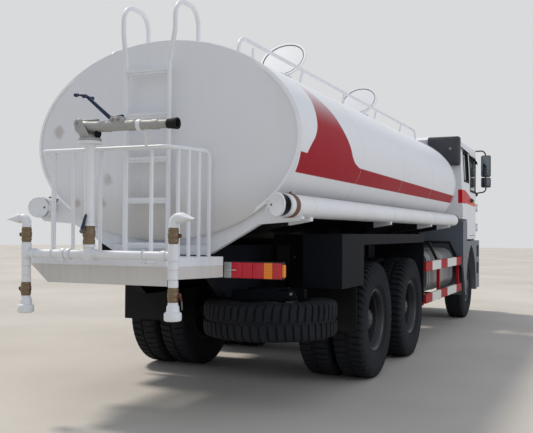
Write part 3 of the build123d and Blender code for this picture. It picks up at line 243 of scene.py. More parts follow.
def new_material(name):
    """A material that holds only its shader."""
    made = bpy.data.materials.new(name)
    made.use_nodes = True
    tree = made.node_tree
    tree.nodes.clear()
    shader = put(tree, "BsdfPrincipled")
    put(tree, "OutputMaterial", {0: shader.outputs[0]})
    return made, tree, shader


def painted(name, colour, film=0.25, runs=0.2, splash=0.4, rust=0.15, rough=0.36, coat=0.2, metallic=0.0,
            film_colour="8f8778", edge=0.006, peel=0.03, rust_size=8.0, glance=0.5):
    """Paint or bare metal with road film, rust and worn edges. The colour may be a function that draws it."""
    made, tree, shader = new_material(name)
    base = colour(tree) if callable(colour) else linear(colour)
    dirt = effect(tree, ROAD_FILM, Film=film, Runs=runs, Splash=splash)
    worn = effect(tree, WORN_EDGES, Width=edge)
    bare = sums(tree, "MULTIPLY", worn.outputs["Mask"], 0.5)
    spots = effect(tree, RUST_SPOTS, Amount=rust, Size=rust_size, Edge=bare)
    top = blended(tree, dirt.outputs["Mask"], base, linear(film_colour))
    top = blended(tree, sums(tree, "MULTIPLY", spots.outputs["Stain"], 0.45), top, linear("9a6a42"))
    grain = dirt.outputs["Grain"]
    rust_hue = blended(tree, grain, linear("4d2413"), linear("8e5230"))
    dull = sums(tree, "MAXIMUM", dirt.outputs["Mask"], spots.outputs["Mask"])
    relief = sums(tree, "MULTIPLY_ADD", spots.outputs["Mask"], -0.6, grain)
    fill(tree, shader, {
        "Base Color": blended(tree, spots.outputs["Mask"], top, rust_hue), "Metallic": metallic,
        "Roughness": ranged(tree, dull, rough, 0.85), "Specular IOR Level": glance,
        "Normal": bumped(tree, relief, peel * 4, 0.002, Normal=worn.outputs["Normal"]),
        "Coat Weight": coat, "Coat Roughness": 0.15})
    return made


def moulded(name, colour, rough=0.6, grain=220.0, film=0.3, film_colour="8a857c", glance=0.4):
    """Plastic, rubber or cloth with a fine grain and dust."""
    made, tree, shader = new_material(name)
    dirt = effect(tree, ROAD_FILM, Film=film, Runs=film * 0.5, Splash=film).outputs["Mask"]
    worn = effect(tree, WORN_EDGES, Width=0.005)
    pits = put(tree, "TexVoronoi", {"Vector": place_of(tree), "Scale": grain}).outputs["Distance"]
    fill(tree, shader, {
        "Base Color": blended(tree, dirt, linear(colour), linear(film_colour)),
        "Roughness": ranged(tree, dirt, rough, 0.92), "Specular IOR Level": glance,
        "Normal": bumped(tree, pits, 0.25, 0.001, Normal=worn.outputs["Normal"])})
    return made


def side_mask(tree, low_x, high_x, low_z, high_z):
    """1 inside a rectangle of X and Z. Each limit is a number or a socket."""
    soft = 0.004
    x, z = axis_of(tree, 0), axis_of(tree, 2)
    mask = None
    for value, limit, sign in ((x, low_x, 1), (x, high_x, -1), (z, low_z, 1), (z, high_z, -1)):
        gap = sums(tree, "MULTIPLY", sums(tree, "SUBTRACT", value, limit), sign)
        part = span(tree, gap, -soft, soft)
        mask = part if mask is None else sums(tree, "MULTIPLY", mask, part)
    return mask


def curve_of(tree, value, low, high, points, least, most):
    """A smooth function of a value, through points whose results lie between least and most."""
    scaled = put(tree, "MapRange", {"Value": value, "From Min": low, "From Max": high}).outputs[0]
    made = put(tree, "FloatCurve", {"Value": scaled})
    line = made.mapping.curves[0]
    placed_points = [((v - low) / (high - low), (r - least) / (most - least)) for v, r in points]
    line.points[0].location, line.points[1].location = placed_points[0], placed_points[-1]
    for point in placed_points[1:-1]:
        line.points.new(*point)
    made.mapping.update()
    return ranged(tree, made.outputs[0], least, most)


# The flash's rear and front edges, as (height, place along X)
FLASH_REAR = ((2.0, -4.14), (2.06, -4.10), (2.202, -3.953), (2.369, -3.856), (2.571, -3.738), (2.7, -3.70))
FLASH_FRONT = ((2.0, -2.62), (2.03, -2.86), (2.069, -2.973), (2.179, -3.089), (2.318, -3.233),
               (2.445, -3.345), (2.565, -3.498), (2.7, -3.69))


def tank_colours(tree):
    """White with a crimson band and flash on the sides, stains on the rear end, and the belly near-black
    below about 1.6 m.
    """
    x, y, z = (axis_of(tree, axis) for axis in range(3))
    where = place_of(tree)
    band_top = put(tree, "MapRange", {"Value": x, "From Min": -4.3, "From Max": 2.3, "To Min": 2.022,
                                      "To Max": 1.976}).outputs[0]
    band_end = sums(tree, "MULTIPLY_ADD", z, -0.24, -3.782)
    band = side_mask(tree, band_end, 2.2, 1.868, band_top)
    left = curve_of(tree, z, 2.0, 2.7, FLASH_REAR, -4.2, -3.6)
    right = curve_of(tree, z, 2.0, 2.7, FLASH_FRONT, -3.9, -2.5)
    flash = sums(tree, "MULTIPLY", side_mask(tree, left, right, 1.99, 2.70), span(tree, z, 2.74, 2.27))
    normal = put(tree, "SeparateXYZ", {0: put(tree, "NewGeometry").outputs["Normal"]})
    shell = sums(tree, "LESS_THAN", sums(tree, "ABSOLUTE", normal.outputs[0]), 0.7)
    striped = sums(tree, "MULTIPLY", sums(tree, "MAXIMUM", band, flash), shell)
    under = span(tree, z, 1.90, 1.45)
    white = blended(tree, sums(tree, "MULTIPLY", under, 0.45), linear(WHITE), linear("b9b2a4"))
    ragged = speckle(tree, where, 14.0, 6.0, 0.7)
    by_ladder = span(tree, sums(tree, "ABSOLUTE", sums(tree, "SUBTRACT", y, 0.04)), 0.34, 0.10)
    climbed = sums(tree, "MULTIPLY", by_ladder, span(tree, x, TANK_REAR + 0.02, TANK_REAR))
    low = span(tree, sums(tree, "MULTIPLY_ADD", ragged, 0.9, z), 2.85, 2.0)
    climbed = sums(tree, "MULTIPLY", climbed, low)
    white = blended(tree, sums(tree, "MULTIPLY", climbed, 0.26), white, linear("a89e8c"))
    for across, height, reach in REAR_STAINS:
        centre = (TANK_REAR, across, height)
        far = put(tree, "VectorMath", {0: where, 1: centre}, operation="DISTANCE").outputs["Value"]
        spot = span(tree, sums(tree, "MULTIPLY_ADD", ragged, -reach, far), reach * 0.5, -reach * 0.1)
        white = blended(tree, sums(tree, "MULTIPLY", spot, 0.45), white, linear("988a78"))
    # Below about 1.6 m, ahead of the rear end, the tank's belly is painted near-black.
    ahead_of_end = sums(tree, "GREATER_THAN", x, TANK_REAR + 0.04)
    dark_belly = sums(tree, "MULTIPLY", span(tree, z, 1.60, 1.56), ahead_of_end)
    white = blended(tree, dark_belly, white, linear("1a1b20"))
    return blended(tree, striped, white, linear("9c0822"))


def cab_colours(tree):
    """White, with a red block at the rear corner that runs on as an orange and red flash."""
    x = axis_of(tree, 0)
    corner = side_mask(tree, 2.5, 2.93, 1.885, 2.10)
    rise = sums(tree, "MULTIPLY_ADD", x, -0.14, 2.50)
    drop = sums(tree, "MULTIPLY_ADD", x, -0.02, 1.955)
    flash = side_mask(tree, 2.93, 4.1, drop, rise)
    hot = span(tree, x, 3.1, 3.7)
    side = sums(tree, "GREATER_THAN", distance_out(tree), 1.176)
    side = sums(tree, "MAXIMUM", side, sums(tree, "GREATER_THAN", x, 3.0))
    red = blended(tree, hot, linear("c4101f"), linear("e0602c"))
    mask = sums(tree, "MULTIPLY", sums(tree, "MAXIMUM", corner, flash), side)
    return blended(tree, mask, linear(WHITE), red)


def platform_colours(tree):
    """A bright lip over an apron painted greyer below it: partly dust from years of spray, partly painted
    shade under the lip.
    """
    return blended(tree, span(tree, axis_of(tree, 2), 1.158, 1.150), linear("e3e6ec"), linear("d0cecb"))


def bracket_colours(tree):
    """White feet under the hose tubes, on arms that are dark further in."""
    return blended(tree, span(tree, distance_out(tree), 1.00, 1.01), linear("1a1c20"), linear("e1e4e8"))


def guard_colours(tree):
    """Red rails with white lengths, red posts below them and black struts above."""
    out = distance_out(tree)
    lengths = [side_mask(tree, low, high, 0.5, 1.06) for low, high in ((0.43, 1.01), (1.47, 2.18))]
    white = sums(tree, "MULTIPLY", sums(tree, "MAXIMUM", *lengths), sums(tree, "GREATER_THAN", out, 1.179))
    above = span(tree, axis_of(tree, 2), 1.055, 1.06)
    strut = sums(tree, "MAXIMUM", above, sums(tree, "LESS_THAN", out, 1.139))
    hue = blended(tree, white, linear("a60f20"), linear("dcdcd8"))
    return blended(tree, strut, hue, linear("18191b"))


tank_paint = painted("tank_paint", tank_colours, film=0.04, runs=0.05, splash=0.0, rust=0.02, rough=0.4,
                     coat=0.0, film_colour=DUST, edge=0.008, glance=0.05)
fitting_paint = painted("fitting_paint", "e1e4e8", film=0.10, runs=0.15, splash=0.15, rust=0.2, rough=0.38,
                        coat=0.05, film_colour="9d9482", edge=0.004, glance=0.3)
bracket_paint = painted("bracket_paint", bracket_colours, film=0.06, runs=0.1, splash=0.1, rust=0.1,
                        rough=0.45, coat=0.0, film_colour="8d8678", glance=0.1)
platform_paint = painted("platform_paint", platform_colours, film=0.12, runs=0.2, splash=0.12, rust=0.22,
                         rough=0.42, coat=0.0, film_colour="9c968a", edge=0.004, glance=0.3)
cab_paint = painted("cab_paint", cab_colours, film=0.06, runs=0.05, splash=0.1, rust=0.0, rough=0.35,
                    coat=0.0, film_colour="b0aba0", glance=0.06)
frame_paint = painted("frame_paint", "1a1c22", film=0.08, runs=0.06, splash=0.10, rust=0.14, rough=0.6,
                      film_colour="3f3d3b", coat=0.0, glance=0.05)
axle_paint = painted("axle_paint", "17181c", film=0.28, runs=0.12, splash=0.35, rust=0.35, rough=0.6,
                     film_colour="4d473f", coat=0.0, glance=0.2)
fender_plastic = moulded("fender_plastic", "5a636e", rough=0.45, film=0.2)
bumper_plastic = moulded("bumper_plastic", "565e68", rough=0.5, film=0.25)
fuel_paint = painted("fuel_paint", "5b5f62", film=0.2, runs=0.15, splash=0.2, rust=0.08, rough=0.42,
                     film_colour="8d887b")
strap_metal = painted("strap_metal", "9a9d9f", film=0.2, runs=0.2, splash=0.2, rust=0.2, rough=0.4,
                      metallic=0.6)
guard_paint = painted("guard_paint", guard_colours, film=0.07, runs=0.12, splash=0.12, rust=0.15, rough=0.45,
                      coat=0.0, glance=0.06)
wheel_paint = painted("wheel_paint", "11161d", film=0.1, runs=0.1, splash=0.3, rust=0.22, rough=0.45,
                      film_colour="4a4d51", glance=0.35)
hub_paint = painted("hub_paint", "181e25", film=0.14, runs=0.1, splash=0.2, rust=0.25, rough=0.45,
                    film_colour="514d47", coat=0.05)
nut_metal = painted("nut_metal", "8d8f90", film=0.3, runs=0.2, splash=0.2, rust=0.45, rough=0.35,
                    metallic=0.8, rust_size=60.0)
rusty_band = painted("rusty_band", "6d4a3c", film=0.3, runs=0.2, splash=0.0, rust=0.75, rough=0.7, coat=0.0,
                     rust_size=25.0)
valve_brass = painted("valve_brass", "75634b", film=0.45, runs=0.2, splash=0.0, rust=0.1, rough=0.48,
                      metallic=0.55, film_colour="857a66", rust_size=30.0)
cast_metal = painted("cast_metal", "a3a4a3", film=0.3, runs=0.2, splash=0.0, rust=0.03, rough=0.5,
                     metallic=0.3, film_colour="83817a", peel=0.12, coat=0.0)
lever_paint = painted("lever_paint", "16294a", film=0.06, runs=0.06, splash=0.0, rust=0.1, rough=0.4,
                      coat=0.0, glance=0.3)
maroon_paint = painted("maroon_paint", "5a1a1e", film=0.15, runs=0.1, splash=0.0, rust=0.3, rough=0.5,
                       coat=0.0)
tyre_rubber = moulded("tyre_rubber", "1c1e23", rough=0.85, grain=130.0, film=0.18, film_colour="444445",
                      glance=0.12)
black_rubber = moulded("black_rubber", "131417", rough=0.75, grain=180.0, film=0.18, film_colour="45423e",
                       glance=0.2)
black_plastic = moulded("black_plastic", "1c1e22", rough=0.5, film=0.15, film_colour="5f5d59", glance=0.3)
intake_plastic = moulded("intake_plastic", "3b3e46", rough=0.6, film=0.2, glance=0.3)
grey_seal = moulded("grey_seal", "c9cacb", rough=0.7, film=0.1)
seal_rubber = moulded("seal_rubber", "4e4340", rough=0.8, film=0.15)
# The rims' white is brighter than the tank's: a painted highlight along the rolled edges.
rim_highlight_paint = painted("rim_highlight_paint", "f0f2f6", film=0.04, runs=0.08, splash=0.0, rust=0.08, rough=0.4, coat=0.0,
                    film_colour=DUST, glance=0.2)


def darker(colour, share):
    """A colour with each part cut to a share of itself."""
    return tuple(part * share for part in linear(colour)[:3]) + (1.0,)


def waves(tree, way, scale, distortion=0.0):
    """Fine waves across an axis."""
    return put(tree, "TexWave", {"Vector": place_of(tree), "Scale": scale, "Distortion": distortion},
               bands_direction=way).outputs[1]


def lamp_lens(name, colour, glow=0.0):
    """A coloured lens with the fine flutes of its inner face."""
    made, tree, shader = new_material(name)
    depth = sums(tree, "MULTIPLY", waves(tree, "Y", 26.0), waves(tree, "Z", 26.0))
    dirt = effect(tree, ROAD_FILM, Film=0.2, Runs=0.2, Splash=0.2)
    # The lens colour is painted darker in the flutes' troughs: painted shade.
    flute_shade = blended(tree, depth, darker(colour, 0.55), linear(colour))
    fill(tree, shader, {
        "Base Color": blended(tree, dirt.outputs["Mask"], flute_shade, linear("8a8074")), "Roughness": 0.25,
        "Normal": bumped(tree, depth, 0.35, 0.002), "Specular IOR Level": 0.3, "Coat Weight": 0.05,
        "Emission Strength": glow, "Emission Color": linear(colour)})
    return made


red_lens = lamp_lens("red_lens", "d01230", 0.12)
orange_lens = lamp_lens("orange_lens", "f58a14", 0.16)
clear_lens = lamp_lens("clear_lens", "c9ccd0")


def glass(name, colour, through):
    """Clear glass with faint smears."""
    made, tree, shader = new_material(name)
    smear = span(tree, speckle(tree, place_of(tree), 2.4, 6.0, 0.6), 0.45, 0.8)
    fill(tree, shader, {
        "Base Color": blended(tree, sums(tree, "MULTIPLY", smear, 0.35), linear(colour), linear("8c8f90")),
        "Roughness": ranged(tree, smear, 0.03, 0.16), "Transmission Weight": through, "IOR": 1.45})
    return made


window_glass = glass("window_glass", "8fa0a5", 0.9)
head_glass = glass("head_glass", "dfe6ea", 0.85)
# The mirror glass is a dim grey metal: a painted dark reflection, standing for the dark things it mirrors.
mirror_glass = painted("mirror_glass", "6d767d", film=0.05, runs=0.05, splash=0.0, rust=0.0, rough=0.05,
                       metallic=1.0, peel=0.0)


def woven(name, colour, second):
    """Seat cloth: a plain weave, with a fleck of a second thread."""
    made, tree, shader = new_material(name)
    weave = sums(tree, "MAXIMUM", waves(tree, "Y", 90.0, 0.4), waves(tree, "Z", 90.0, 0.4))
    fleck = span(tree, speckle(tree, place_of(tree), 160.0, 2.0), 0.58, 0.66)
    # The low threads of the weave are painted darker: painted shade between the threads.
    weave_shade = blended(tree, weave, darker(colour, 0.6), linear(colour))
    fill(tree, shader, {
        "Base Color": blended(tree, fleck, weave_shade, linear(second)), "Roughness": 0.9, "Sheen Weight": 0.3,
        "Normal": bumped(tree, weave, 0.4, 0.001)})
    return made


seat_cloth = woven("seat_cloth", "2b3038", "5a6472")

# The finish of each frame part. A wheel is rubber, and a part that isn't named is frame_paint
part_finishes = {
    tank_paint: ("tank",),
    fitting_paint: ("manhole_necks", "top_rails", "ladder", "hose_tubes", "hose_cap_left", "hose_cap_right",
                    "railing", "rear_pipes", "rear_saddle", "manhole_lid_rear", "manhole_lid_front"),
    bracket_paint: ("hose_brackets",),
    platform_paint: ("rear_platform",),
    cab_paint: ("cab_roof", "cab_rear_wall", "cab_front", "cab_floor", "cab_sides", "door_left",
                "door_right"),
    window_glass: ("cab_glass", "door_glass_left", "door_glass_right"),
    cast_metal: ("cannon_swivel", "cannon_barrel"),
    fender_plastic: ("front_fenders",),
    bumper_plastic: ("front_bumper",),
    fuel_paint: ("fuel_tank", "battery_box"),
    guard_paint: ("side_guards",),
    red_lens: ("lamps",),
    seat_cloth: ("seats",),
    black_plastic: ("dashboard", "mirrors", "air_intake"),
    axle_paint: ("rear_axles", "front_axle", "leaf_springs", "knuckle_left", "knuckle_right", "tie_rod",
                 "engine_block"),
}
finish_of = {name: finish for finish, names in part_finishes.items() for name in names}
for name, node in nodes.items():
    finish = tyre_rubber if "wheel" in name else finish_of.get(name, frame_paint)
    node.data.materials.clear()
    node.data.materials.append(finish)


# Mesh shapes
def placed(origin, along):
    """Local Z along a direction, at a point."""
    return Matrix.Translation(Vector(origin)) @ Vector(along).to_track_quat("Z", "Y").to_matrix().to_4x4()


def turned_about(point, angle, axis):
    """A turn by an angle about an axis through a point."""
    return Matrix.Translation(point) @ Matrix.Rotation(angle, 4, axis) @ Matrix.Translation(-point)


def since(bm, count):
    """The corners that were added after the first so many."""
    bm.verts.ensure_lookup_table()
    return bm.verts[count:]


def tint(bm, known, finish):
    """Gives a finish to every face that isn't among the known ones."""
    for face in bm.faces:
        if face not in known:
            face.material_index = finish


def only(items, kind):
    """The items of one kind, such as the corners that an operator made."""
    return [item for item in items if isinstance(item, kind)]


def round_edges(bm, verts, offset, segments):
    """Rounds every edge that meets one of the corners."""
    edges = list({edge for vert in verts for edge in vert.link_edges})
    bmesh.ops.bevel(bm, geom=edges, offset=offset, segments=segments, affect="EDGES", profile=0.5,
                    material=-1)


def turned(bm, outline, origin, along, steps=40, finish=0):
    """A full turn of an outline, given as (place along the axis, radius)."""
    known = set(bm.faces)
    where = placed(origin, along)
    row = [bm.verts.new(where @ Vector((radius, 0, run))) for run, radius in outline]
    line = [bm.edges.new(pair) for pair in zip(row, row[1:])]
    bmesh.ops.spin(bm, geom=row + line, cent=where.translation, axis=Vector(along).normalized(),
                   dvec=(0, 0, 0), angle=tau, steps=steps, use_merge=True, use_duplicate=False)
    tint(bm, known, finish)


def ring(bm, origin, along, low, high, inner, outer, steps, finish=0):
    """A square-edged ring between two places along an axis."""
    outline = [(low, inner), (low, outer), (high, outer), (high, inner), (low, inner)]
    turned(bm, outline, origin, along, steps, finish)


def rod(bm, origin, along, low, high, radius, steps, finish=0):
    """A plain round bar between two places along an axis."""
    turned(bm, [(low, 0), (low, radius), (high, radius), (high, 0)], origin, along, steps, finish)


def pipe(bm, points, radius, bend=0.0, around=16, steps=5, finish=0):
    """A round bar or pipe along straight runs, turned at each corner."""
    known = set(bm.faces)
    points = [Vector(point) for point in points]
    here = points[0]
    way = (points[1] - here).normalized()
    verts = bmesh.ops.create_circle(bm, cap_ends=True, segments=around, radius=radius,
                                    matrix=placed(here, way))["verts"]
    edges = list({edge for vert in verts for edge in vert.link_edges})
    for k in range(1, len(points)):
        corner, last = points[k], k == len(points) - 1
        way = (corner - here).normalized()
        onward = way if last else (points[k + 1] - corner).normalized()
        half = way.angle(onward) / 2
        stop = corner - way * bend * tan(half)
        grown = bmesh.ops.extrude_edge_only(bm, edges=edges)["geom"]
        verts = only(grown, bmesh.types.BMVert)
        kept = set(verts)
        edges = [edge for edge in only(grown, bmesh.types.BMEdge) if set(edge.verts) <= kept]
        bmesh.ops.translate(bm, verts=verts, vec=stop - here)
        here = stop
        if half > 0.01 and not last:
            axis = way.cross(onward).normalized()
            spun = bmesh.ops.spin(bm, geom=verts + edges, cent=stop + axis.cross(way) * bend, axis=axis,
                                  dvec=(0, 0, 0), angle=2 * half, steps=steps)["geom_last"]
            verts, edges = only(spun, bmesh.types.BMVert), only(spun, bmesh.types.BMEdge)
            here = corner + onward * bend * tan(half)
    bmesh.ops.edgeloop_fill(bm, edges=edges)
    tint(bm, known, finish)


def block(bm, low, high, edge=0.003, segments=2, finish=0):
    """A bevelled block between two corners."""
    known = set(bm.faces)
    low, high = Vector(low), Vector(high)
    where = Matrix.Translation((low + high) / 2) @ Matrix.Diagonal((high - low).to_4d())
    round_edges(bm, bmesh.ops.create_cube(bm, size=1, matrix=where)["verts"], edge, segments)
    tint(bm, known, finish)


def side_block(bm, side, x, y, z, edge=0.003, segments=2, finish=0):
    """A block on one side of the truck, its limits along Y given as distances out."""
    near, far = sorted((side * y[0], side * y[1]))
    block(bm, (x[0], near, z[0]), (x[1], far, z[1]), edge, segments, finish)


def plate(bm, outline, where, depth, edge=0.0, segments=2, finish=0):
    """A flat outline in local X and Y, drawn out along local Z, with rounded edges."""
    known = set(bm.faces)
    face = bm.faces.new([bm.verts.new(where @ Vector((x, y, 0))) for x, y in outline])
    grown = bmesh.ops.extrude_face_region(bm, geom=[face])["geom"]
    verts = only(grown, bmesh.types.BMVert)
    bmesh.ops.translate(bm, verts=verts, vec=where.to_3x3() @ Vector((0, 0, depth)))
    if edge:
        round_edges(bm, verts + list(face.verts), edge, segments)
    tint(bm, known, finish)


def facing(origin, out, right):
    """Local Z along out, and local X along right."""
    out, right = Vector(out).normalized(), Vector(right).normalized()
    turn = Matrix((right, out.cross(right), out)).transposed().to_4x4()
    return Matrix.Translation(Vector(origin)) @ turn


def bolt(bm, place, along, size=0.011, finish=0):
    """A hexagon head on its washer."""
    along = Vector(along).normalized()
    washer = [(0, 0), (0, size * 1.4), (size * 0.25, size * 1.4), (size * 0.3, 0)]
    turned(bm, washer, place, along, 12, finish)
    known = set(bm.faces)
    head = placed(Vector(place) + along * size * 0.7, along)
    verts = bmesh.ops.create_cone(bm, cap_ends=True, segments=6, radius1=size, radius2=size * 0.94,
                                  depth=size * 0.9, matrix=head)["verts"]
    round_edges(bm, verts, size * 0.1, 1)
    tint(bm, known, finish)


def bolts_round(bm, origin, along, radius, count, size=0.011, finish=0):
    """Bolts evenly round an axis."""
    where = placed(origin, along)
    for k in range(count):
        angle = tau * k / count
        bolt(bm, where @ Vector((radius * cos(angle), radius * sin(angle), 0)), along, size, finish)


def shape_of(bm, name, finish, smooth=38):
    """Closes a bmesh into a mesh with its finishes, normals outwards and only its real edges sharp."""
    bmesh.ops.remove_doubles(bm, verts=bm.verts, dist=2e-5)
    bmesh.ops.recalc_face_normals(bm, faces=bm.faces)
    for face in bm.faces:
        face.smooth = True
    for edge in bm.edges:
        edge.smooth = len(edge.link_faces) == 2 and edge.calc_face_angle(0) < radians(smooth)
    mesh = bpy.data.meshes.new(name)
    bm.to_mesh(mesh)
    bm.free()
    for material in finish if isinstance(finish, (list, tuple)) else [finish]:
        mesh.materials.append(material)
    return mesh


def added(name, data):
    """An object in the scene, at the origin."""
    obj = bpy.data.objects.new(name, data)
    bpy.context.scene.collection.objects.link(obj)
    return obj


def show(mesh, name, body):
    """Puts a mesh on a body, as a piece of its own."""
    obj = added(name, mesh)
    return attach(obj, body)


def piece(bm, name, body, finish, smooth=38):
    """Closes a bmesh and puts it on a body."""
    return show(shape_of(bm, name, finish, smooth), name, body)


# Camera at the photograph's place
camera_data = bpy.data.cameras.new("photo_camera")
camera_data.sensor_fit, camera_data.sensor_width, camera_data.lens = "HORIZONTAL", 36.0, 51.909
camera_data.clip_end = 200
camera = added("photo_camera", camera_data)
eye = (-9.6279, -3.2952, 1.4123)
yaw, pitch, roll = 0.4165, 0.0203, 0.0067
ahead = Vector((cos(pitch) * cos(yaw), cos(pitch) * sin(yaw), sin(pitch)))
right = Vector((sin(yaw), -cos(yaw), 0))
up = right.cross(ahead)
right, up = right * cos(roll) + up * sin(roll), up * cos(roll) - right * sin(roll)
camera.matrix_world = Matrix.Translation(eye) @ Matrix((right, up, -ahead)).transposed().to_4x4()
bpy.context.scene.camera = camera
bpy.context.scene.view_settings.view_transform = "Standard"


# Floor, lamps and world
def lamp(name, kind, place, target, energy, size, colour):
    """A light that shines from a place on a target."""
    data = bpy.data.lights.new(name, kind)
    data.energy = energy
    data.color = linear(colour)[:3]
    if kind == "SUN":
        data.angle = size
    else:
        data.shape, data.size = "DISK", size
    added(name, data).matrix_world = placed(place, Vector(place) - Vector(target))


lamp("key_light", "SUN", (3, 9, 16), (0, 0, 1.5), 2.45, radians(9), "fff6ea")
lamp("side_fill", "AREA", (-4, -18, 8), (-1, 0, 1.6), 620, 10.0, "f3f6ff")

floor_bm = bmesh.new()
bmesh.ops.create_circle(floor_bm, cap_ends=True, segments=96, radius=70)
floor_material, tree, shader = new_material("studio_floor")
wide = span(tree, speckle(tree, place_of(tree), 0.35, 5.0), 0.3, 0.7)
fill(tree, shader, {"Base Color": blended(tree, wide, linear("b5b1a9"), linear("c2beb7")), "Roughness": 0.85})
floor = added("studio_floor", shape_of(floor_bm, "studio_floor", floor_material))

world = bpy.data.worlds.new("studio")
bpy.context.scene.world = world
world.use_nodes = True
tree = world.node_tree
tree.nodes.clear()
rays = put(tree, "LightPath")
seen = sums(tree, "MAXIMUM", rays.outputs["Is Camera Ray"], rays.outputs["Is Transmission Ray"])
seen = sums(tree, "MAXIMUM", seen, rays.outputs["Is Glossy Ray"])
backdrop = put(tree, "Background", {"Color": linear("d9dadb"), "Strength": 1.0})
soft = put(tree, "Background", {"Color": linear("e4eaf5"), "Strength": 0.68})
both = put(tree, "MixShader", {0: seen, 1: soft.outputs[0], 2: backdrop.outputs[0]})
put(tree, "OutputWorld", {0: both.outputs[0]})


# Wheels: one tyre and one rim of each kind, copied to every place
def tyre_mesh(name, lugs):
    """A tyre about Y: a carcass, and either rows of shoulder lugs or plain ribs."""
    bm = bmesh.new()
    tread = 0.5455 if lugs else 0.5600
    half = [(0.100, 0.279), (0.116, 0.288), (0.122, 0.305), (0.138, 0.335), (0.1405, 0.341), (0.146, 0.345),
            (0.150, 0.400), (0.1505, 0.4425), (0.149, 0.475), (0.146, 0.497), (0.139, 0.519), (0.129, 0.5355),
            (0.106, tread)]
    if not lugs:
        half = half[:-2] + [(0.131, 0.541), (0.118, 0.5595), (0.078, 0.5615), (0.075, 0.549), (0.065, 0.549),
                            (0.062, 0.5622), (0.034, 0.5625), (0.031, 0.550), (0.021, 0.550), (0.018, 0.5625)]
    else:
        half.append((0.045, tread + 0.003))
    outline = half + [(-y, r) for y, r in reversed(half)]
    outline.append(outline[0])
    turned(bm, outline, (0, 0, 0), LEFT, 72)
    if lugs:
        side_line = [(0.010, 0.540), (0.010, 0.5625), (0.100, 0.5620), (0.122, 0.5570), (0.136, 0.5450),
                     (0.1465, 0.5180), (0.1505, 0.4850), (0.1500, 0.4620), (0.1440, 0.4620), (0.1340, 0.5100),
                     (0.1150, 0.5300)]
        for side in (1, -1):
            start = len(bm.verts)
            face = bm.faces.new([bm.verts.new((-0.026 + 2.0 * (y - 0.04) ** 2, side * y, r))
                                 for y, r in side_line])
            grown = bmesh.ops.extrude_face_region(bm, geom=[face])["geom"]
            far = only(grown, bmesh.types.BMVert)
            bmesh.ops.translate(bm, verts=far, vec=(0.049, 0, 0))
            slanted = [vert for vert in far if abs(vert.co.y) < 0.02]
            bmesh.ops.translate(bm, verts=slanted, vec=(0, side * 0.013, 0))
            lug_verts = since(bm, start)
            lug_faces = list({f for v in lug_verts for f in v.link_faces})
            half_step = Matrix.Rotation(tau / LUGS / 2 * (side < 0), 3, "Y")
            bmesh.ops.rotate(bm, verts=lug_verts, cent=(0, 0, 0), matrix=half_step)
            for k in range(1, LUGS):
                made = bmesh.ops.duplicate(bm, geom=lug_faces)["geom"]
                bmesh.ops.rotate(bm, verts=only(made, bmesh.types.BMVert), cent=(0, 0, 0),
                                 matrix=Matrix.Rotation(tau * k / LUGS, 3, "Y"))
    return shape_of(bm, name, [tyre_rubber])


def rim_mesh(name, disc, hub):
    """A rim about Y, its outer side towards +Y: a barrel, a disc with hand holes, studs and a hub."""
    bm = bmesh.new()
    barrel = [(-0.112, 0.300), (-0.119, 0.294), (-0.110, 0.284), (-0.104, 0.279), (-0.06, 0.266),
              (0.02, 0.262), (0.100, 0.279), (0.110, 0.284), (0.119, 0.294), (0.113, 0.302), (0.121, 0.303),
              (0.127, 0.293), (0.117, 0.278), (0.104, 0.270), (0.03, 0.254), (-0.05, 0.258),
              (-0.104, 0.270), (-0.117, 0.278), (-0.127, 0.293), (-0.121, 0.303), (-0.112, 0.300)]
    turned(bm, barrel, (0, 0, 0), LEFT, 60)
    turned(bm, disc, (0, 0, 0), LEFT, 60)
    bm.faces.ensure_lookup_table()

    def hole_phase(place):
        return atan2(place.z, place.x) / tau * HAND_HOLES

    def in_hole(face):
        middle = face.calc_center_median()
        return 0.180 < Vector((middle.x, middle.z)).length < 0.222 and hole_phase(middle) % 1 < 0.5

    bmesh.ops.delete(bm, geom=[face for face in bm.faces if in_hole(face)], context="FACES")
    rims = [edge for edge in bm.edges if edge.is_boundary]
    for k in range(HAND_HOLES):
        around = [edge for edge in rims
                  if round(hole_phase((edge.verts[0].co + edge.verts[1].co) / 2) - 0.25) % HAND_HOLES == k]
        bmesh.ops.bridge_loops(bm, edges=around)
    face_y = next(y for y, r in disc if r < 0.150)
    bolts_round(bm, (0, face_y, 0), LEFT, 0.1425, WHEEL_NUTS, 0.017, 2)
    turned(bm, hub, (0, 0, 0), LEFT, 40, 1)
    end_y, end_r = max(hub)[0], [r for y, r in hub if r > 0.06][-1]
    bolts_round(bm, (0, end_y - 0.012, 0), LEFT, end_r * 0.72, HUB_BOLTS, 0.008, 1)
    return shape_of(bm, name, [wheel_paint, hub_paint, nut_metal])


lug_tyre = tyre_mesh("lug_tyre", True)
rib_tyre = tyre_mesh("rib_tyre", False)
deep_disc = [(0.060, 0.256), (-0.020, 0.252), (-0.080, 0.246), (-0.120, 0.232), (-0.146, 0.224),
             (-0.150, 0.178), (-0.152, 0.100), (-0.162, 0.100), (-0.160, 0.178), (-0.156, 0.226),
             (-0.128, 0.240), (-0.086, 0.253), (-0.020, 0.259), (0.060, 0.262), (0.060, 0.256)]
deep_hub = [(-0.165, 0), (-0.165, 0.118), (-0.02, 0.112), (0.0, 0.122), (0.014, 0.122), (0.018, 0.104),
            (0.050, 0.098), (0.062, 0.084), (0.074, 0.060), (0.080, 0.030), (0.0815, 0)]
inner_hub = [(-0.165, 0), (-0.165, 0.118), (-0.12, 0.112), (-0.10, 0.08), (-0.10, 0)]
out_disc = [(0.020, 0.256), (0.040, 0.250), (0.058, 0.236), (0.066, 0.224), (0.074, 0.178), (0.080, 0.140),
            (0.080, 0.092), (0.071, 0.092), (0.071, 0.138), (0.065, 0.176), (0.057, 0.222), (0.049, 0.232),
            (0.033, 0.244), (0.016, 0.248), (0.020, 0.256)]
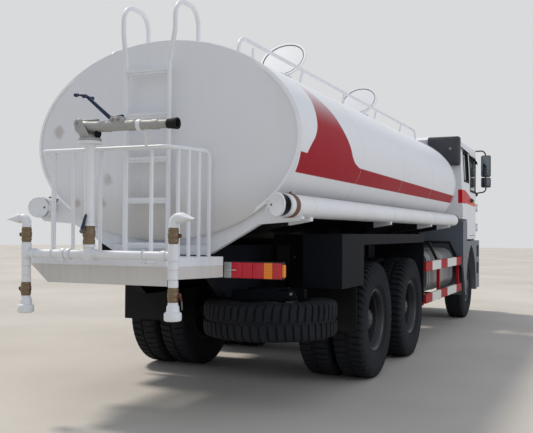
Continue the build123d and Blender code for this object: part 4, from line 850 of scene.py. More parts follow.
out_hub = [(0.02, 0), (0.02, 0.094), (0.090, 0.094), (0.100, 0.088), (0.132, 0.082), (0.146, 0.068),
           (0.153, 0.04), (0.154, 0)]
deep_rim = rim_mesh("deep_rim", deep_disc, deep_hub)
inner_rim = rim_mesh("inner_rim", deep_disc, inner_hub)
front_rim = rim_mesh("front_rim", out_disc, out_hub)


def set_wheel(mesh, name, body, centre, out, slot, *replaced):
    """Copies a wheel piece to a centre, its outer side along a direction."""
    copy = mesh.copy()
    copy.name = name
    turn = Matrix.Rotation(tau / 2, 4, "Z")
    if Vector(out).y > -0.99:
        turn = Vector(LEFT).rotation_difference(Vector(out)).to_matrix().to_4x4()
    copy.transform(Matrix.Translation(centre) @ turn)
    obj = show(copy, name, body)
    if replaced:
        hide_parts(*replaced)


for side_name, side in SIDES:
    out = Vector((0, side, 0))
    for axle_name, x in (("rear", REAR_AXLE), ("middle", MID_AXLE)):
        body = f"{axle_name}_wheels_{side_name}"
        for place_name, shift, rim in (("outer", TWIN / 2, deep_rim), ("inner", -TWIN / 2, inner_rim)):
            centre = Vector((x, side * (REAR_TRACK + shift), TYRE_R))
            label = f"{axle_name}_{side_name}_{place_name}"
            set_wheel(lug_tyre, f"tyre_{label}", body, centre, out, "tyre", body)
            set_wheel(rim, f"rim_{label}", body, centre, out if place_name == "outer" else -out,
                      "chassis_black")
    body = f"front_wheel_{side_name}"
    centre = Vector((FRONT_AXLE, side * FRONT_TRACK, TYRE_R))
    set_wheel(rib_tyre, f"tyre_front_{side_name}", body, centre, out, "tyre", body)
    set_wheel(front_rim, f"rim_front_{side_name}", body, centre, out, "chassis_black")
set_wheel(lug_tyre, "tyre_spare", "chassis", SPARE, UP, "tyre", "spare_wheel")
set_wheel(inner_rim, "rim_spare", "chassis", SPARE - Vector((0, 0, 0.012)), DOWN, "chassis_black")


# Rear pipes: the cross pipe, its spray nozzles and shower heads, and the cannon's riser
bm = bmesh.new()
pipe(bm, [(PIPE_X, y, PIPE_Z) for y, out in PIPE_ENDS], 0.031, around=24)
for y in (-0.470, 0.675, 0.225, 0.115):
    ring(bm, (PIPE_X, y, PIPE_Z), LEFT, -0.018, 0.018, 0.030, 0.037, 24)
for y in (0.400, 0.352):
    turned(bm, [(-0.020, 0.030), (-0.020, 0.040), (-0.012, 0.042), (0.012, 0.042), (0.020, 0.039),
                (0.020, 0.030), (-0.020, 0.030)], (PIPE_X, y, PIPE_Z), LEFT, 24)
for y, out in PIPE_ENDS:
    at = (PIPE_X, y, 0)
    rod(bm, at, UP, 0.895, 1.475, 0.032, 28)
    for low, high, radius in ((1.207, 1.324, 0.0375), (1.145, 1.200, 0.036), (1.076, 1.140, 0.035),
                              (1.022, 1.070, 0.0365), (0.900, 0.920, 0.036), (1.438, 1.452, 0.037)):
        turned(bm, [(low, 0.03), (low, radius - 0.003), (low + 0.003, radius), (high - 0.003, radius),
                    (high, radius - 0.003), (high, 0.03), (low, 0.03)], at, UP, 28)
    turned(bm, [(SHOWER_Z, 0), (SHOWER_Z, 0.050), (0.794, 0.059), (0.800, 0.062), (0.842, 0.062),
                (0.850, 0.056), (0.856, 0.046), (0.892, 0.044), (0.898, 0.040), (0.910, 0.034),
                (0.910, 0)], at, UP, 32)
    for k in range(3):
        for j in range(6 + 6 * k):
            angle, reach = tau * j / (6 + 6 * k), 0.0145 * (k + 1)
            turned(bm, [(0, 0.003), (-0.0015, 0.0045), (-0.0015, 0.002), (0, 0.003)],
                   (PIPE_X + reach * cos(angle), y + reach * sin(angle), SHOWER_Z), UP, 6)
    elbow = [(PIPE_X, y, 1.452), (PIPE_X, y, NOZZLE_Z), (PIPE_X, y + out * 0.055, NOZZLE_Z)]
    pipe(bm, elbow, 0.034, 0.040, 24, 8)
    where = facing((PIPE_X, y + out * 0.050, NOZZLE_Z), (0, out, -0.09), FORWARD)
    count = len(bm.verts)
    turned(bm, [(0, 0), (0, 0.038), (0.022, 0.040), (0.060, 0.034), (0.100, 0.022), (0.123, 0.016),
                (0.123, 0.012), (0.05, 0)], where.translation, (0, out, -0.09), 28)
    for vert in since(bm, count):
        local = where.inverted() @ vert.co
        squeeze = max(0.0, min(1.0, (local.z - 0.02) / 0.10))
        local.y *= 1 - 0.72 * squeeze
        local.x *= 1 + 0.9 * squeeze
        vert.co = where @ local
for z, radius in ((1.292, 0.047), (1.449, 0.044)):
    ring(bm, (PIPE_X, RISER_Y, z), UP, 0, 0.022, 0.03, radius, 28)
turned(bm, [(1.20, 0), (1.20, 0.038), (2.020, 0.038), (2.044, 0.042), (2.050, 0.050), (2.050, 0.083),
            (2.053, 0.085), (2.067, 0.085), (2.070, 0.083), (2.070, 0)], RISER, UP, 32)
rod(bm, (PIPE_X, RISER_Y, PIPE_Z), LEFT, -0.05, 0.05, 0.043, 28)
for y in (-0.30, 0.50):
    block(bm, (PIPE_X - 0.02, y - 0.02, 1.182), (DECK_REAR - 0.018, y + 0.02, 1.190), 0.001)
    pipe(bm, [(PIPE_X - 0.034, y, 1.186), (PIPE_X - 0.034, y, 1.280), (PIPE_X + 0.034, y, 1.280),
              (PIPE_X + 0.034, y, 1.186)], 0.004, 0.033, 8, 6)
piped = piece(bm, "spray_pipes", "chassis", fitting_paint)
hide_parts("rear_pipes")

# Brass valves, with the stubs of their stems
bm = bmesh.new()
for y, out in PIPE_ENDS:
    for low, high in VALVES:
        middle = (low + high) / 2
        turned(bm, [(low, 0.02), (low, 0.034), (low + 0.012, 0.036), (low + 0.016, 0.039),
                    (middle - 0.022, 0.036), (middle - 0.016, 0.040), (middle + 0.016, 0.040),
                    (middle + 0.022, 0.036), (high - 0.016, 0.039), (high - 0.012, 0.036), (high, 0.034),
                    (high, 0.02), (low, 0.02)], (PIPE_X, y, 0), UP, 24)
        turned(bm, [(0.03, 0), (0.03, 0.016), (0.046, 0.014), (0.046, 0)],
               (PIPE_X, y, middle), (0, out, 0), 16)
turned(bm, [(1.314, 0.02), (1.314, 0.044), (1.336, 0.046), (1.360, 0.041), (1.376, 0.047), (1.408, 0.047),
            (1.424, 0.041), (1.446, 0.046), (1.449, 0.02), (1.314, 0.02)], RISER, UP, 24)
turned(bm, [(0.03, 0), (0.03, 0.020), (0.055, 0.017), (0.055, 0)], (PIPE_X, RISER_Y, 1.39), BACK, 16)
piece(bm, "valve_bodies", "chassis", valve_brass)

# Valve levers: the lower ones hang down, and the riser's long one stands up
bm = bmesh.new()
for y, out in PIPE_ENDS:
    for z in VALVE_ZS:
        turned(bm, [(0.044, 0), (0.044, 0.008), (0.050, 0.008), (0.051, 0.015), (0.060, 0.014), (0.061, 0)],
               (PIPE_X, y, z), (0, out, 0), 12, 2)
    plate(bm, [(-0.008, -0.012), (0.006, -0.014), (0.055, -0.006), (0.055, 0.006), (0.006, 0.014),
               (-0.008, 0.012)],
          facing((PIPE_X, y + out * 0.052, VALVE_ZS[1]), (0, out, 0), (0.5, 0, -0.85)), 0.005, 0.0015, 2, 2)
    stem = [(PIPE_X + 0.026, y + out * 0.054, 0.930), (PIPE_X + 0.030, y + out * 0.056, 0.868)]
    pipe(bm, stem, 0.0055, around=10, finish=1)
riser_lever = facing((PIPE_X - 0.058, RISER_Y + 0.022, 1.405), BACK, (0, -0.30, 0.95))
plate(bm, [(0, -0.012), (0.02, -0.014), (0.12, -0.010), (0.135, -0.006), (0.135, 0.006), (0.12, 0.010),
           (0.02, 0.014), (0, 0.012)], riser_lever, 0.008, 0.002)
bolt(bm, (PIPE_X - 0.064, RISER_Y + 0.018, 1.41), BACK, 0.012, 1)
piece(bm, "valve_levers", "chassis", [lever_paint, fuel_paint, maroon_paint])

# Water cannon: the swivel and its fork
bm = bmesh.new()
turned(bm, [(2.0705, 0), (2.0705, 0.083), (2.073, 0.085), (2.087, 0.085), (2.090, 0.083), (2.090, 0.056),
            (2.098, 0.048), (2.112, 0.046), (2.116, 0.042), (2.116, 0)], RISER, UP, 36)
bolts_round(bm, (PIPE_X, RISER_Y, 2.090), UP, 0.068, 6, 0.009, 1)
for side in (-1, 1):
    plate(bm, [(RISER_Y - 0.040, 2.092), (RISER_Y + 0.040, 2.092), (NOD_Y + 0.040, CANNON_Z - 0.004),
               (NOD_Y + 0.030, CANNON_Z + 0.026), (NOD_Y + 0.004, CANNON_Z + 0.040),
               (NOD_Y - 0.026, CANNON_Z + 0.030), (NOD_Y - 0.044, CANNON_Z)],
          facing((PIPE_X + side * 0.056 - 0.0075, 0, 0), FORWARD, LEFT), 0.015, 0.004)
    turned(bm, [(0.062, 0.0142), (0.062, 0.032), (0.068, 0.030), (0.068, 0.0142), (0.062, 0.0142)],
           NOD_PIN, (side, 0, 0), 24)
swivel = piece(bm, "cannon_base", "cannon_swivel", [cast_metal, nut_metal])
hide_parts("cannon_swivel")

# Barrel, with its clamp, its nod pin and the black knob under it
barrel = Vector((PIPE_X, NOD_Y, CANNON_Z - BARREL_SAG))
bm = bmesh.new()
turned(bm, [(-0.064, 0), (-0.060, 0.022), (-0.048, 0.038), (-0.028, 0.0455), (0, 0.0475), (0.030, 0.0465),
            (0.070, 0.042), (0.140, 0.040), (0.215, 0.0405), (0.225, 0.043), (0.245, 0.043),
            (0.250, 0.038), (0.330, 0.037), (0.400, 0.036), (0.405, 0.039), (0.450, 0.039), (0.455, 0.035),
            (0.545, 0.034), (0.600, 0.033), (0.604, 0.037), (0.650, 0.037), (0.655, 0.031), (0.745, 0.030),
            (0.745, 0.0)], barrel, BARREL_WAY, 36)
turned(bm, [(0.478, 0.030), (0.478, 0.039), (0.482, 0.0405), (0.508, 0.0405), (0.512, 0.039), (0.512, 0.030),
            (0.478, 0.030)], barrel, BARREL_WAY, 36, 2)
rod(bm, NOD_PIN, FORWARD, -0.064, 0.064, 0.0138, 20, 1)
turned(bm, [(-0.100, 0), (-0.098, 0.016), (-0.088, 0.023), (-0.060, 0.025), (-0.030, 0.022), (-0.030, 0)],
       (PIPE_X, 0.100, CANNON_Z), UP, 20, 3)
turned(bm, [(0.010, 0), (0.010, 0.024), (0.040, 0.020), (0.046, 0.012), (0.046, 0)],
       (PIPE_X, NOD_Y + 0.035, CANNON_Z), UP, 20)
block(bm, (PIPE_X - 0.012, NOD_Y - 0.14, CANNON_Z + 0.022),
      (PIPE_X + 0.012, NOD_Y + 0.045, CANNON_Z + 0.036), 0.004)
block(bm, (PIPE_X - 0.030, -0.125, CANNON_Z - 0.012), (PIPE_X + 0.030, -0.022, CANNON_Z + 0.040), 0.006)
for y in (-0.095, -0.044):
    for side in (-1, 1):
        bolt(bm, (PIPE_X + side * 0.030, y, CANNON_Z + 0.020), (side, 0, 0), 0.009, 1)
piece(bm, "cannon_tube", "cannon_barrel", [cast_metal, nut_metal, fitting_paint, frame_paint])

# Rubber nozzle
bm = bmesh.new()
turned(bm, [(0.725, 0.0), (0.725, 0.033), (0.731, 0.035), (0.745, 0.035), (0.785, 0.040), (0.803, 0.042),
            (0.808, 0.040), (0.807, 0.033), (0.785, 0.026), (0.770, 0.024), (0.770, 0)],
       barrel, BARREL_WAY, 32)
piece(bm, "cannon_nozzle", "cannon_barrel", black_rubber)

# Aiming lever, with a cross grip and an end knob
bm = bmesh.new()
lever = [(-0.122, 0.010), (-0.112, 0.010), (-0.110, 0.040), (-0.060, 0.038), (-0.015, 0.026), (0.002, 0.026),
         (0.216, 0.204), (0.252, 0.212), (0.290, 0.217), (0.290, 0.232), (0.250, 0.228), (0.208, 0.224),
         (-0.010, 0.052), (-0.050, 0.048), (-0.112, 0.058), (-0.122, 0.052)]
plate(bm, lever, facing((PIPE_X - 0.010, 0, CANNON_Z), FORWARD, LEFT), 0.020, 0.004)
grip = [(PIPE_X + x, GRIP_Y, CANNON_Z + GRIP_RISE) for x in (-0.055, 0.050)]
pipe(bm, grip, 0.010, around=14)
turned(bm, [(-0.022, 0), (-0.018, 0.011), (0, 0.017), (0.016, 0.013), (0.022, 0)],
       (PIPE_X, KNOB_Y, CANNON_Z + 0.225), LEFT, 18)
for end in grip:
    turned(bm, [(-0.012, 0), (-0.010, 0.011), (0, 0.016), (0.010, 0.011), (0.012, 0)], end, FORWARD, 16)
barrel_lever = piece(bm, "cannon_lever", "cannon_barrel", lever_paint)
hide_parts("cannon_barrel")

# Manhole lids, standing open, and the rings of their necks
for name, x in zip(("rear", "front"), NECKS):
    hinge = Vector((x + 0.295, 0, NECK_TOP + 0.020))
    opened = turned_about(hinge, LID_OPEN, "Y")
    bm = bmesh.new()
    z0 = NECK_TOP + 0.006
    turned(bm, [(z0 + 0.004, 0), (z0 + 0.004, 0.236), (z0, 0.240), (z0, 0.268), (z0 + 0.004, 0.272),
                (z0 + 0.012, 0.272), (z0 + 0.016, 0.266), (z0 + 0.018, 0.230), (z0 + 0.030, 0.150),
                (z0 + 0.034, 0.060), (z0 + 0.036, 0.040), (z0 + 0.040, 0.038), (z0 + 0.040, 0)],
           (x, 0, 0), UP, 56)
    turned(bm, [(z0 + 0.006, 0.2345), (z0 - 0.0008, 0.2350), (z0 - 0.0008, 0.2420), (z0 + 0.006, 0.2425),
                (z0 + 0.006, 0.2345)], (x, 0, 0), UP, 56, 1)
    bolt(bm, (x, 0, z0 + 0.0045), DOWN, 0.009, 2)
    block(bm, (x + 0.10, -0.040, z0 + 0.012), (x + 0.300, 0.040, z0 + 0.024), 0.004)
    rod(bm, hinge, LEFT, -0.045, 0.045, 0.013, 20)
    rod(bm, hinge, LEFT, -0.078, 0.078, 0.0078, 16)
    bmesh.ops.transform(bm, matrix=opened, verts=bm.verts)
    lid = piece(bm, f"manhole_cover_{name}", f"manhole_lid_{name}", [fitting_paint, seal_rubber, frame_paint])
    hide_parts(f"manhole_lid_{name}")
bm = bmesh.new()
for x in NECKS:
    turned(bm, [(0, 0.250), (0, 0.262), (0.012, 0.268), (0.012, 0.250), (0, 0.250)],
           (x, 0, NECK_TOP - 0.020), UP, 48)
    turned(bm, [(2.946, 0), (2.946, 0.239)], (x, 0, 0), UP, 48, 1)
    bolts_round(bm, (x, 0, NECK_TOP - 0.060), UP, 0.262, 1, 0.006)
piece(bm, "manhole_rings", "chassis", [fitting_paint, black_rubber])


# Tank: rolled rims and welded seams
def hoop(bm, outline, finish=0):
    """An outline of (x, height above the shell) carried round the tank's oval."""
    start = len(bm.verts)
    turned(bm, [(x, 1 + rise) for x, rise in outline], (0, 0, TANK_Z), FORWARD, 144, finish)
    for vert in since(bm, start):
        flat = Vector((vert.co.y, vert.co.z - TANK_Z))
        rise = flat.length - 1
        flat.normalize()
        vert.co.y = flat.x * (TANK_A + rise)
        vert.co.z = TANK_Z + flat.y * (TANK_B + rise)


bm = bmesh.new()
for x, way in ((TANK_REAR, 1), (TANK_FRONT, -1)):
    hoop(bm, [(x - way * 0.004, -0.020), (x - way * 0.004, 0.003), (x - way * 0.001, 0.006),
              (x + way * 0.012, 0.006), (x + way * 0.015, 0.003), (x + way * 0.016, -0.004)])
for x in SEAMS:
    hoop(bm, [(x - 0.006, -0.002), (x - 0.004, 0.0012), (x, 0.0020), (x + 0.004, 0.0012),
              (x + 0.006, -0.002)], 1)
# The rims take the brighter white, a painted highlight.
piece(bm, "tank_rims", "chassis", [rim_highlight_paint, tank_paint])

# Hose tubes: end collars, rusty clamps near the rear, black bands at the front and bands over the brackets
bm = bmesh.new()
for side in (-1, 1):
    y, rear = side * HOSE_Y, HOSE_REAR + LEFT_SHIFT * (side > 0)
    tube = (0, y, HOSE_Z)
    turned(bm, [(rear + 0.004, 0.0875), (rear + 0.004, 0.090), (rear + 0.030, 0.090), (rear + 0.032, 0.0875),
                (rear + 0.004, 0.0875)], tube, FORWARD, 48)
    for x in (rear + 0.092, rear + 0.130):
        ring(bm, tube, FORWARD, x, x + 0.034, BAND_IN, BAND_OUT, 48, 1)
    bolt(bm, (rear + 0.128, y + side * 0.02, HOSE_Z + 0.090), UP, 0.010, 1)
    for x in (HOSE_FRONT - 0.085, HOSE_FRONT - 0.045):
        ring(bm, tube, FORWARD, x, x + 0.016, BAND_IN, BAND_OUT, 48, 2)
    for x in BRACKETS:
        ring(bm, tube, FORWARD, x - 0.020, x + 0.020, BAND_IN, 0.0885, 48)
piece(bm, "hose_clamps", "chassis", [fitting_paint, rusty_band, black_rubber])

# Closing strip between the rear saddle and the deck
bm = bmesh.new()
block(bm, (-4.302, -0.446, 1.229), (-4.2955, 0.446, 1.306), 0.001)
piece(bm, "saddle_strip", "chassis", [fitting_paint])

# Hose caps, ajar on their side hinges
for name, side in SIDES:
    bm = bmesh.new()
    x, y = HOSE_REAR - CAP_GAP + LEFT_SHIFT * (side > 0), side * HOSE_Y
    hinge = Vector((x, side * CAP_HINGE, HOSE_Z))
    ajar = turned_about(hinge, CAP_AJAR * side, "Z")
    turned(bm, [(x - 0.007, 0), (x - 0.007, 0.076), (x - 0.009, 0.079), (x - 0.007, 0.086),
                (x + 0.006, 0.087), (x + 0.007, 0.082), (x + 0.002, 0.079), (x + 0.002, 0)],
           (0, y, HOSE_Z), FORWARD, 48)
    side_block(bm, side, (x - 0.004, x + 0.004), (CAP_HINGE, HOSE_Y - 0.070),
               (HOSE_Z - 0.024, HOSE_Z + 0.024), 0.001)
    rod(bm, hinge, UP, -0.037, 0.037, 0.0048, 16)
    rod(bm, hinge, UP, -0.024, 0.024, 0.009, 16)
    bolt(bm, (x - 0.007, y - side * 0.052, HOSE_Z), BACK, 0.006, 1)
    bmesh.ops.transform(bm, matrix=ajar, verts=bm.verts)
    cap = piece(bm, f"hose_end_{name}", f"hose_cap_{name}", [fitting_paint, rusty_band])
    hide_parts(f"hose_cap_{name}")

# Tail lamps, each a housing with six fluted lenses and a side marker, and the head lamps
bm = bmesh.new()
lenses = ((0.550, 0.620, 3), (0.620, 0.710, 1), (0.710, 0.800, 1), (0.800, 0.892, 1), (0.892, 0.966, 2),
          (0.966, 1.040, 1))
for side in (1, -1):
    for start, stop, hue in lenses:
        side_block(bm, side, LENS_X, (start + 0.001, stop - 0.001), LENS_Z, 0.006, 3, hue)
    for x, y, z, edge, segments, finish in (
            (HOUSING_X, (0.545, 1.046), HOUSING_Z, 0.008, 3, 0),
            ((-4.238, -4.196), (1.040, 1.060), (1.066, 1.164), 0.007, 3, 2),
            (SEAM_X, (0.574, 0.660), (1.111, 1.119), 0.001, 1, 6),
            (SEAM_X, (0.605, 0.613), (1.060, 1.170), 0.001, 1, 6),
            ((-4.175, -4.135), (0.43, 1.03), (1.090, 1.140), 0.004, 2, 0)):
        side_block(bm, side, x, y, z, edge, segments, finish)
    for y in (0.60, 0.80, 1.00):
        bolt(bm, (-4.172, side * y, 1.115), FORWARD, 0.010, 4)
for side in (1, -1):
    side_block(bm, side, (BUMPER_X - 0.045, BUMPER_X), (0.785, 1.115), (0.645, 0.805), 0.02, 3, 3)
    for y, radius in ((0.88, 0.066), (1.03, 0.062)):
        turned(bm, [(0, 0), (0.004, radius * 0.5), (0.012, radius), (0.018, radius), (0.018, radius + 0.006),
                    (0, radius + 0.006), (-0.002, 0)], (BUMPER_X - 0.004, side * y, 0.725), FORWARD, 32, 5)
lamp_piece = piece(bm, "lamp_clusters", "chassis",
                   [black_plastic, red_lens, orange_lens, clear_lens, nut_metal, head_glass, grey_seal])
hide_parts("lamps")

# Mud flaps over the fenders' plates, with their clamp bars
bm = bmesh.new()
for side in (-1, 1):
    side_block(bm, side, (-2.9690, -2.9640), FLAP_Y, FLAP_Z, 0.001, 1)
    side_block(bm, side, (-2.9560, -2.9510), FLAP_Y, FLAP_Z, 0.001, 1)
    side_block(bm, side, (-2.976, -2.967), FLAP_Y, (1.165, 1.200), 0.002, 2, 1)
    for k in range(6):
        bolt(bm, (-2.976, side * (0.64 + 0.11 * k), 1.183), BACK, 0.009, 2)
piece(bm, "mud_flaps", "chassis", [black_rubber, frame_paint, nut_metal])


# Straps and caps beside the frame
def fuel_outline(grow):
    """The fuel tank's outline in Y and Z, grown by a margin: square at the frame, rounded outside."""
    outside, top, bottom, radius = -1.10 - grow, 1.18 + grow, 0.60 - grow, 0.16 + grow
    inside = -0.52
    bends = [(radius * cos(tau / 24 * k), radius * sin(tau / 24 * k)) for k in range(7)]
    upper = [(outside + radius - rise, top - radius + run) for run, rise in bends]
    lower = [(outside + radius - run, bottom + radius - rise) for run, rise in bends]
    return [(inside, top)] + upper + lower + [(inside, bottom)]


# Fuel tank: straps and filler cap
bm = bmesh.new()
strap = fuel_outline(0.007) + fuel_outline(-0.002)[::-1]
for x in TANK_STRAPS:
    plate(bm, strap, facing((x - 0.025, 0, 0), FORWARD, LEFT), 0.05, 0.0)
for x in (0.78, 1.575, 2.35):
    bolt(bm, (x, -0.56, 1.187), UP, 0.012, 1)
turned(bm, [(0, 0), (0, 0.062), (0.012, 0.064), (0.030, 0.060), (0.036, 0.050), (0.038, 0)],
       (1.325, -0.80, 1.220), UP, 28, 2)
piece(bm, "fuel_straps", "chassis", [strap_metal, nut_metal, black_plastic])

# Battery box: straps and lid, and the bands round the air tanks
bm = bmesh.new()
for x in BOX_STRAPS:
    block(bm, (x - STRAP_HALF, 0.495, 0.636), (x + STRAP_HALF, 1.126, 1.086), 0.004, 2)
block(bm, (1.868, 0.492, 1.060), (2.532, 1.128, 1.092), 0.006, 2, 1)
for x in (0.85, 1.35):
    for y in (0.70, 0.985):
        ring(bm, (0, y, AIR_TANK_Z), FORWARD, x - STRAP_HALF, x + STRAP_HALF, 0.129, 0.134, 32)
piece(bm, "battery_straps", "chassis", [strap_metal, fuel_paint])

# Spare wheel's clamp
bm = bmesh.new()
plate(bm, [(-0.10, -0.035), (0.10, -0.035), (0.12, 0), (0.10, 0.035), (-0.10, 0.035), (-0.12, 0)],
      facing((SPARE.x, SPARE.y, SPARE.z - 0.012), UP, FORWARD), 0.010, 0.002)
bolt(bm, (SPARE.x, SPARE.y, SPARE.z - 0.012), DOWN, 0.022, 1)
plate(bm, [(-0.058, 0), (0.058, 0), (0.050, 0.024), (0.014, 0.078), (-0.014, 0.078), (-0.050, 0.024)],
      facing((SPARE.x - 0.181, SPARE.y - 0.262, 0.868), BACK, RIGHT), 0.012, 0.002, 2, 2)
bolt(bm, (SPARE.x - 0.193, SPARE.y - 0.262, 0.912), BACK, 0.010, 1)
piece(bm, "spare_clamp", "chassis", [strap_metal, nut_metal, frame_paint])

# Rounded lips on the front fenders' arches, and their small side markers
bm = bmesh.new()
for side in (-1, 1):
    arc = [(FRONT_AXLE - ARCH_R * cos(radians(angle)), side * 1.214, TYRE_R + ARCH_R * sin(radians(angle)))
           for angle in (-8, 6, 20, 34, 48, 62, 76, 88)]
    pipe(bm, arc, 0.028, 0.05, 12, 2)
    side_block(bm, side, (2.985, 3.045), (1.238, 1.252), (1.035, 1.075), 0.005, 2, 1)
piece(bm, "fender_lips", "chassis", [fender_plastic, orange_lens])

# Sleeves on the fence's posts
bm = bmesh.new()
posts = [(FENCE_X, y) for y in (0.636, 0.455, 0.202, -0.027, -0.248)]
posts += [(FENCE_X + run, FENCE_RIGHT + FENCE_FLARE * run) for run in (0.115, 0.215, 0.315)]
for x, y in posts:
    turned(bm, [(DECK_Z - 0.004, 0), (DECK_Z - 0.004, 0.020), (DECK_Z + 0.006, SLEEVE_R),
                (RAIL_Z - 0.004, SLEEVE_R), (RAIL_Z - 0.004, 0)], (x, y, 0), UP, 16)
piece(bm, "fence_sleeves", "chassis", fitting_paint)

# Flat treads on the ladder's rungs, and the tank's breather
bm = bmesh.new()
for z in RUNGS:
    block(bm, (LADDER_X - 0.013, LADDER_YS[0], z - 0.032), (LADDER_X + 0.013, LADDER_YS[1], z + 0.014), 0.003)
turned(bm, [(2.800, 0), (2.800, 0.026), (2.852, 0.020), (2.856, 0.011), (2.940, 0.011), (2.946, 0.008),
            (2.946, 0)], (-3.84, -0.60, 0), UP, 20)
piece(bm, "ladder_treads", "chassis", fitting_paint)


# Cab: rubbers round the side windows, visors and handles
def cab_side(x, z):
    """How far out the cab's side stands at a place."""
    lean = CAB_HALF - max(0.0, z - LEAN_FROM) * 0.035 / 0.75
    if z >= LEAN_TO:
        lean = 1.215 - (z - LEAN_TO) * 0.025 / 0.36
    taper = CAB_HALF - (x - CAB_REAR) * 0.05 / 1.6
    if x >= TAPER_TO:
        taper = 1.20 - (x - TAPER_TO) * 0.12 / 0.7
    return min(lean, taper)


def bridged(bm, rows):
    """Faces from each row of four corners to the next."""
    for row, onward in zip(rows, rows[1:]):
        for j in range(4):
            bm.faces.new((row[j], row[(j + 1) % 4], onward[(j + 1) % 4], onward[j]))


def window_seal(bm, corners, side):
    """A rubber on the edge of a side window: outside it, over the lip and into the opening."""
    stations = []
    for k, corner in enumerate(corners):
        before, here, after = (Vector(corners[(k + j) % len(corners)]) for j in (-1, 0, 1))
        first, second = (here - before).normalized(), (after - here).normalized()
        normal = Vector((first.y + second.y, -first.x - second.x)).normalized()
        normal = normal / normal.dot(Vector((first.y, -first.x)))
        stations.append((here - normal * 0.026, here + normal * 0.010))
    rows = []
    for k, (outer, inner) in enumerate(stations):
        next_outer, next_inner = stations[(k + 1) % len(stations)]
        for step in range(4):
            row = []
            for near, far in ((outer, next_outer), (inner, next_inner)):
                x, z = near.lerp(far, step / 4)
                row += [bm.verts.new((x, side * (cab_side(x, z) + lift), z)) for lift in (0.006, -0.022)]
            rows.append((row[0], row[2], row[3], row[1]))
    bridged(bm, rows + rows[:1])


def visor(bm, line, side):
    """A dark rain visor that stands out from the cab's side along a line of X and Z."""
    rows = []
    for x, z in line:
        y = cab_side(x, z)
        rows.append([bm.verts.new((x, side * (y + out), z + drop))
                     for out, drop in ((-0.006, 0.012), (0.030, -0.016), (0.034, -0.024), (-0.006, -0.004))])
    bridged(bm, rows)
    for row in (rows[0], rows[-1]):
        bm.faces.new(row)


door_window = [(DOOR_REAR + 0.075, WAIST), (DOOR_REAR + 0.075, DOOR_TOP - 0.05),
               (DOOR_FRONT - 0.195, DOOR_TOP - 0.05), (DOOR_FRONT - 0.11, WAIST)]
quarter_window = [(CAB_REAR + 0.27, WAIST + 0.13), (CAB_REAR + 0.27, DOOR_TOP - 0.02),
                  (DOOR_REAR - 0.11, DOOR_TOP - 0.02), (DOOR_REAR - 0.11, WAIST + 0.13)]
for name, side in SIDES:
    bm = bmesh.new()
    window_seal(bm, door_window, side)
    visor(bm, [(DOOR_REAR + 0.03, 2.722), (3.8, 2.705), (4.10, 2.680), (4.20, 2.640)], side)
    piece(bm, f"door_rubber_{name}", f"door_{name}", black_rubber)
bm = bmesh.new()
for side in (-1, 1):
    window_seal(bm, quarter_window, side)
    visor(bm, [(CAB_REAR + 0.12, 2.775), (DOOR_REAR - 0.03, 2.745)], side)
piece(bm, "window_rubbers", "cab", black_rubber)

for name, side in SIDES:
    bm = bmesh.new()
    side_block(bm, side, (3.45, 3.62), (1.233, 1.247), (1.925, 1.995), 0.006, 3)
    side_block(bm, side, (3.47, 3.60), (1.249, 1.265), (1.950, 1.972), 0.006, 3)
    piece(bm, f"door_handle_{name}", f"door_{name}", black_plastic)

# Mirrors: housings with rounded backs, glass and arms
bm = bmesh.new()
for side in (-1, 1):
    for low, high, edge in ((2.430, 2.820, 0.028), (2.240, 2.420, 0.026)):
        side_block(bm, side, (4.585, 4.650), (1.226, 1.396), (low, high), edge, 4)
        side_block(bm, side, (4.583, 4.590), (1.240, 1.382), (low + 0.014, high - 0.014), 0.003, 2, 1)
    pipe(bm, [(4.50, side * 1.00, 2.885), (MIRROR_X, side * 1.30, 2.905), (MIRROR_X, side * MIRROR_Y, 2.165),
              (4.53, side * 1.10, 2.125)], 0.012, 0.075, 14, 6)
    turned(bm, [(-0.05, 0), (-0.044, 0.026), (-0.015, 0.042), (0.02, 0.040), (0.045, 0.024), (0.050, 0)],
           (4.53, side * 1.135, 2.115), (0, side, 0), 24)
    for z in (2.74, 2.50, 2.28):
        ring(bm, (MIRROR_X, side * MIRROR_Y, z), UP, -0.02, 0.02, 0.012, 0.018, 16)
mirror_piece = piece(bm, "mirror_heads", "cab", [black_plastic, mirror_glass])
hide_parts("mirrors")

# Air intake box on the cab's rear wall, and its duct
bm = bmesh.new()
block(bm, (2.405, -1.222, 2.470), (2.556, -0.722, 2.920), 0.035, 4)
block(bm, (2.400, -1.190, 2.505), (2.410, -0.755, 2.885), 0.004, 3)
block(bm, (2.445, -0.92, 1.70), (2.545, -0.73, 2.48), 0.02, 3)
bolt(bm, (2.400, -1.080, 2.727), BACK, 0.015, 1)
intake = piece(bm, "intake_box", "cab", [intake_plastic, nut_metal])
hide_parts("air_intake")

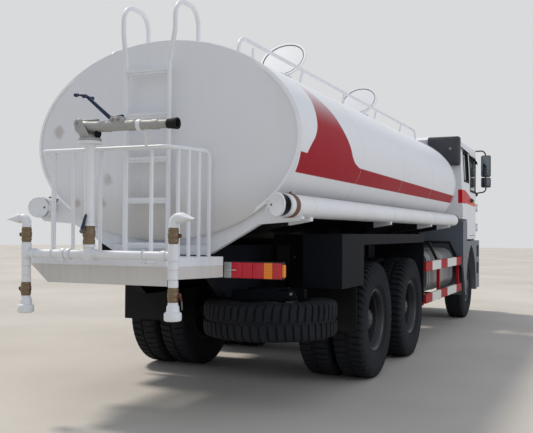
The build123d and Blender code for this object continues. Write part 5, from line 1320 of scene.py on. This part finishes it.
# Seats: a crowned cushion and back for each place, on a plain frame
bm = bmesh.new()
for side in (-1, 1):
    y = side * SEAT_Y
    block(bm, (3.675, y - 0.18, 1.375), (4.035, y + 0.18, 1.60), 0.01, 2)
    block(bm, (3.63, y - 0.22, 1.595), (4.08, y + 0.22, 1.625), 0.008, 2)
    for dy in (-0.07, 0.07):
        pipe(bm, [(3.575, y + dy, 2.24), (3.575, y + dy, 2.36)], 0.008, around=10)
piece(bm, "seat_frames", "cab", black_plastic)


def cushion(name, low, high, crown, axis):
    """A padded block: crowned faces, pulled-in sides and two sewn channels."""
    bm = bmesh.new()
    low, high = Vector(low), Vector(high)
    bmesh.ops.create_cube(bm, size=2)
    bmesh.ops.subdivide_edges(bm, edges=bm.edges, cuts=13, use_grid_fill=True)
    half, middle = (high - low) / 2, (high + low) / 2
    flat = [k for k in range(3) if k != axis]
    for vert in bm.verts:
        u, v, w = vert.co[flat[0]], vert.co[flat[1]], vert.co[axis]
        round_corner = 1 - 0.10 * (abs(u) ** 6) * (abs(v) ** 6)
        pad = (1 - u ** 4) * (1 - v ** 4)
        channel = 0
        if abs(w) > 0.9:
            channel = sum(max(0.0, 1 - abs(v - place) / 0.10) ** 2 for place in (-0.45, 0.45))
        vert.co[flat[0]] = u * half[flat[0]] * round_corner
        vert.co[flat[1]] = v * half[flat[1]] * round_corner
        vert.co[axis] = w * (half[axis] - crown + crown * pad - 0.012 * channel * (1 - abs(u) ** 6))
        vert.co += middle
    obj = piece(bm, name, "cab", seat_cloth, 60)
    smooth = obj.modifiers.new("soft", "SUBSURF")
    smooth.levels = smooth.render_levels = 1
    return obj


for name, y in (("left", SEAT_Y), ("right", -SEAT_Y)):
    for kind, x, half_y, z, crown, axis in (
            ("seat_cushion", (3.62, 4.09), SEAT_HALF, (1.625, 1.758), 0.03, 2),
            ("seat_back", (3.525, 3.625), SEAT_HALF, (1.70, 2.26), 0.025, 0),
            ("head_rest", (3.535, 3.615), 0.13, (2.30, 2.46), 0.02, 0)):
        low, high = (x[0], y - half_y, z[0]), (x[1], y + half_y, z[1])
        cushion(f"{kind}_{name}", low, high, crown, axis)
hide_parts("seats")
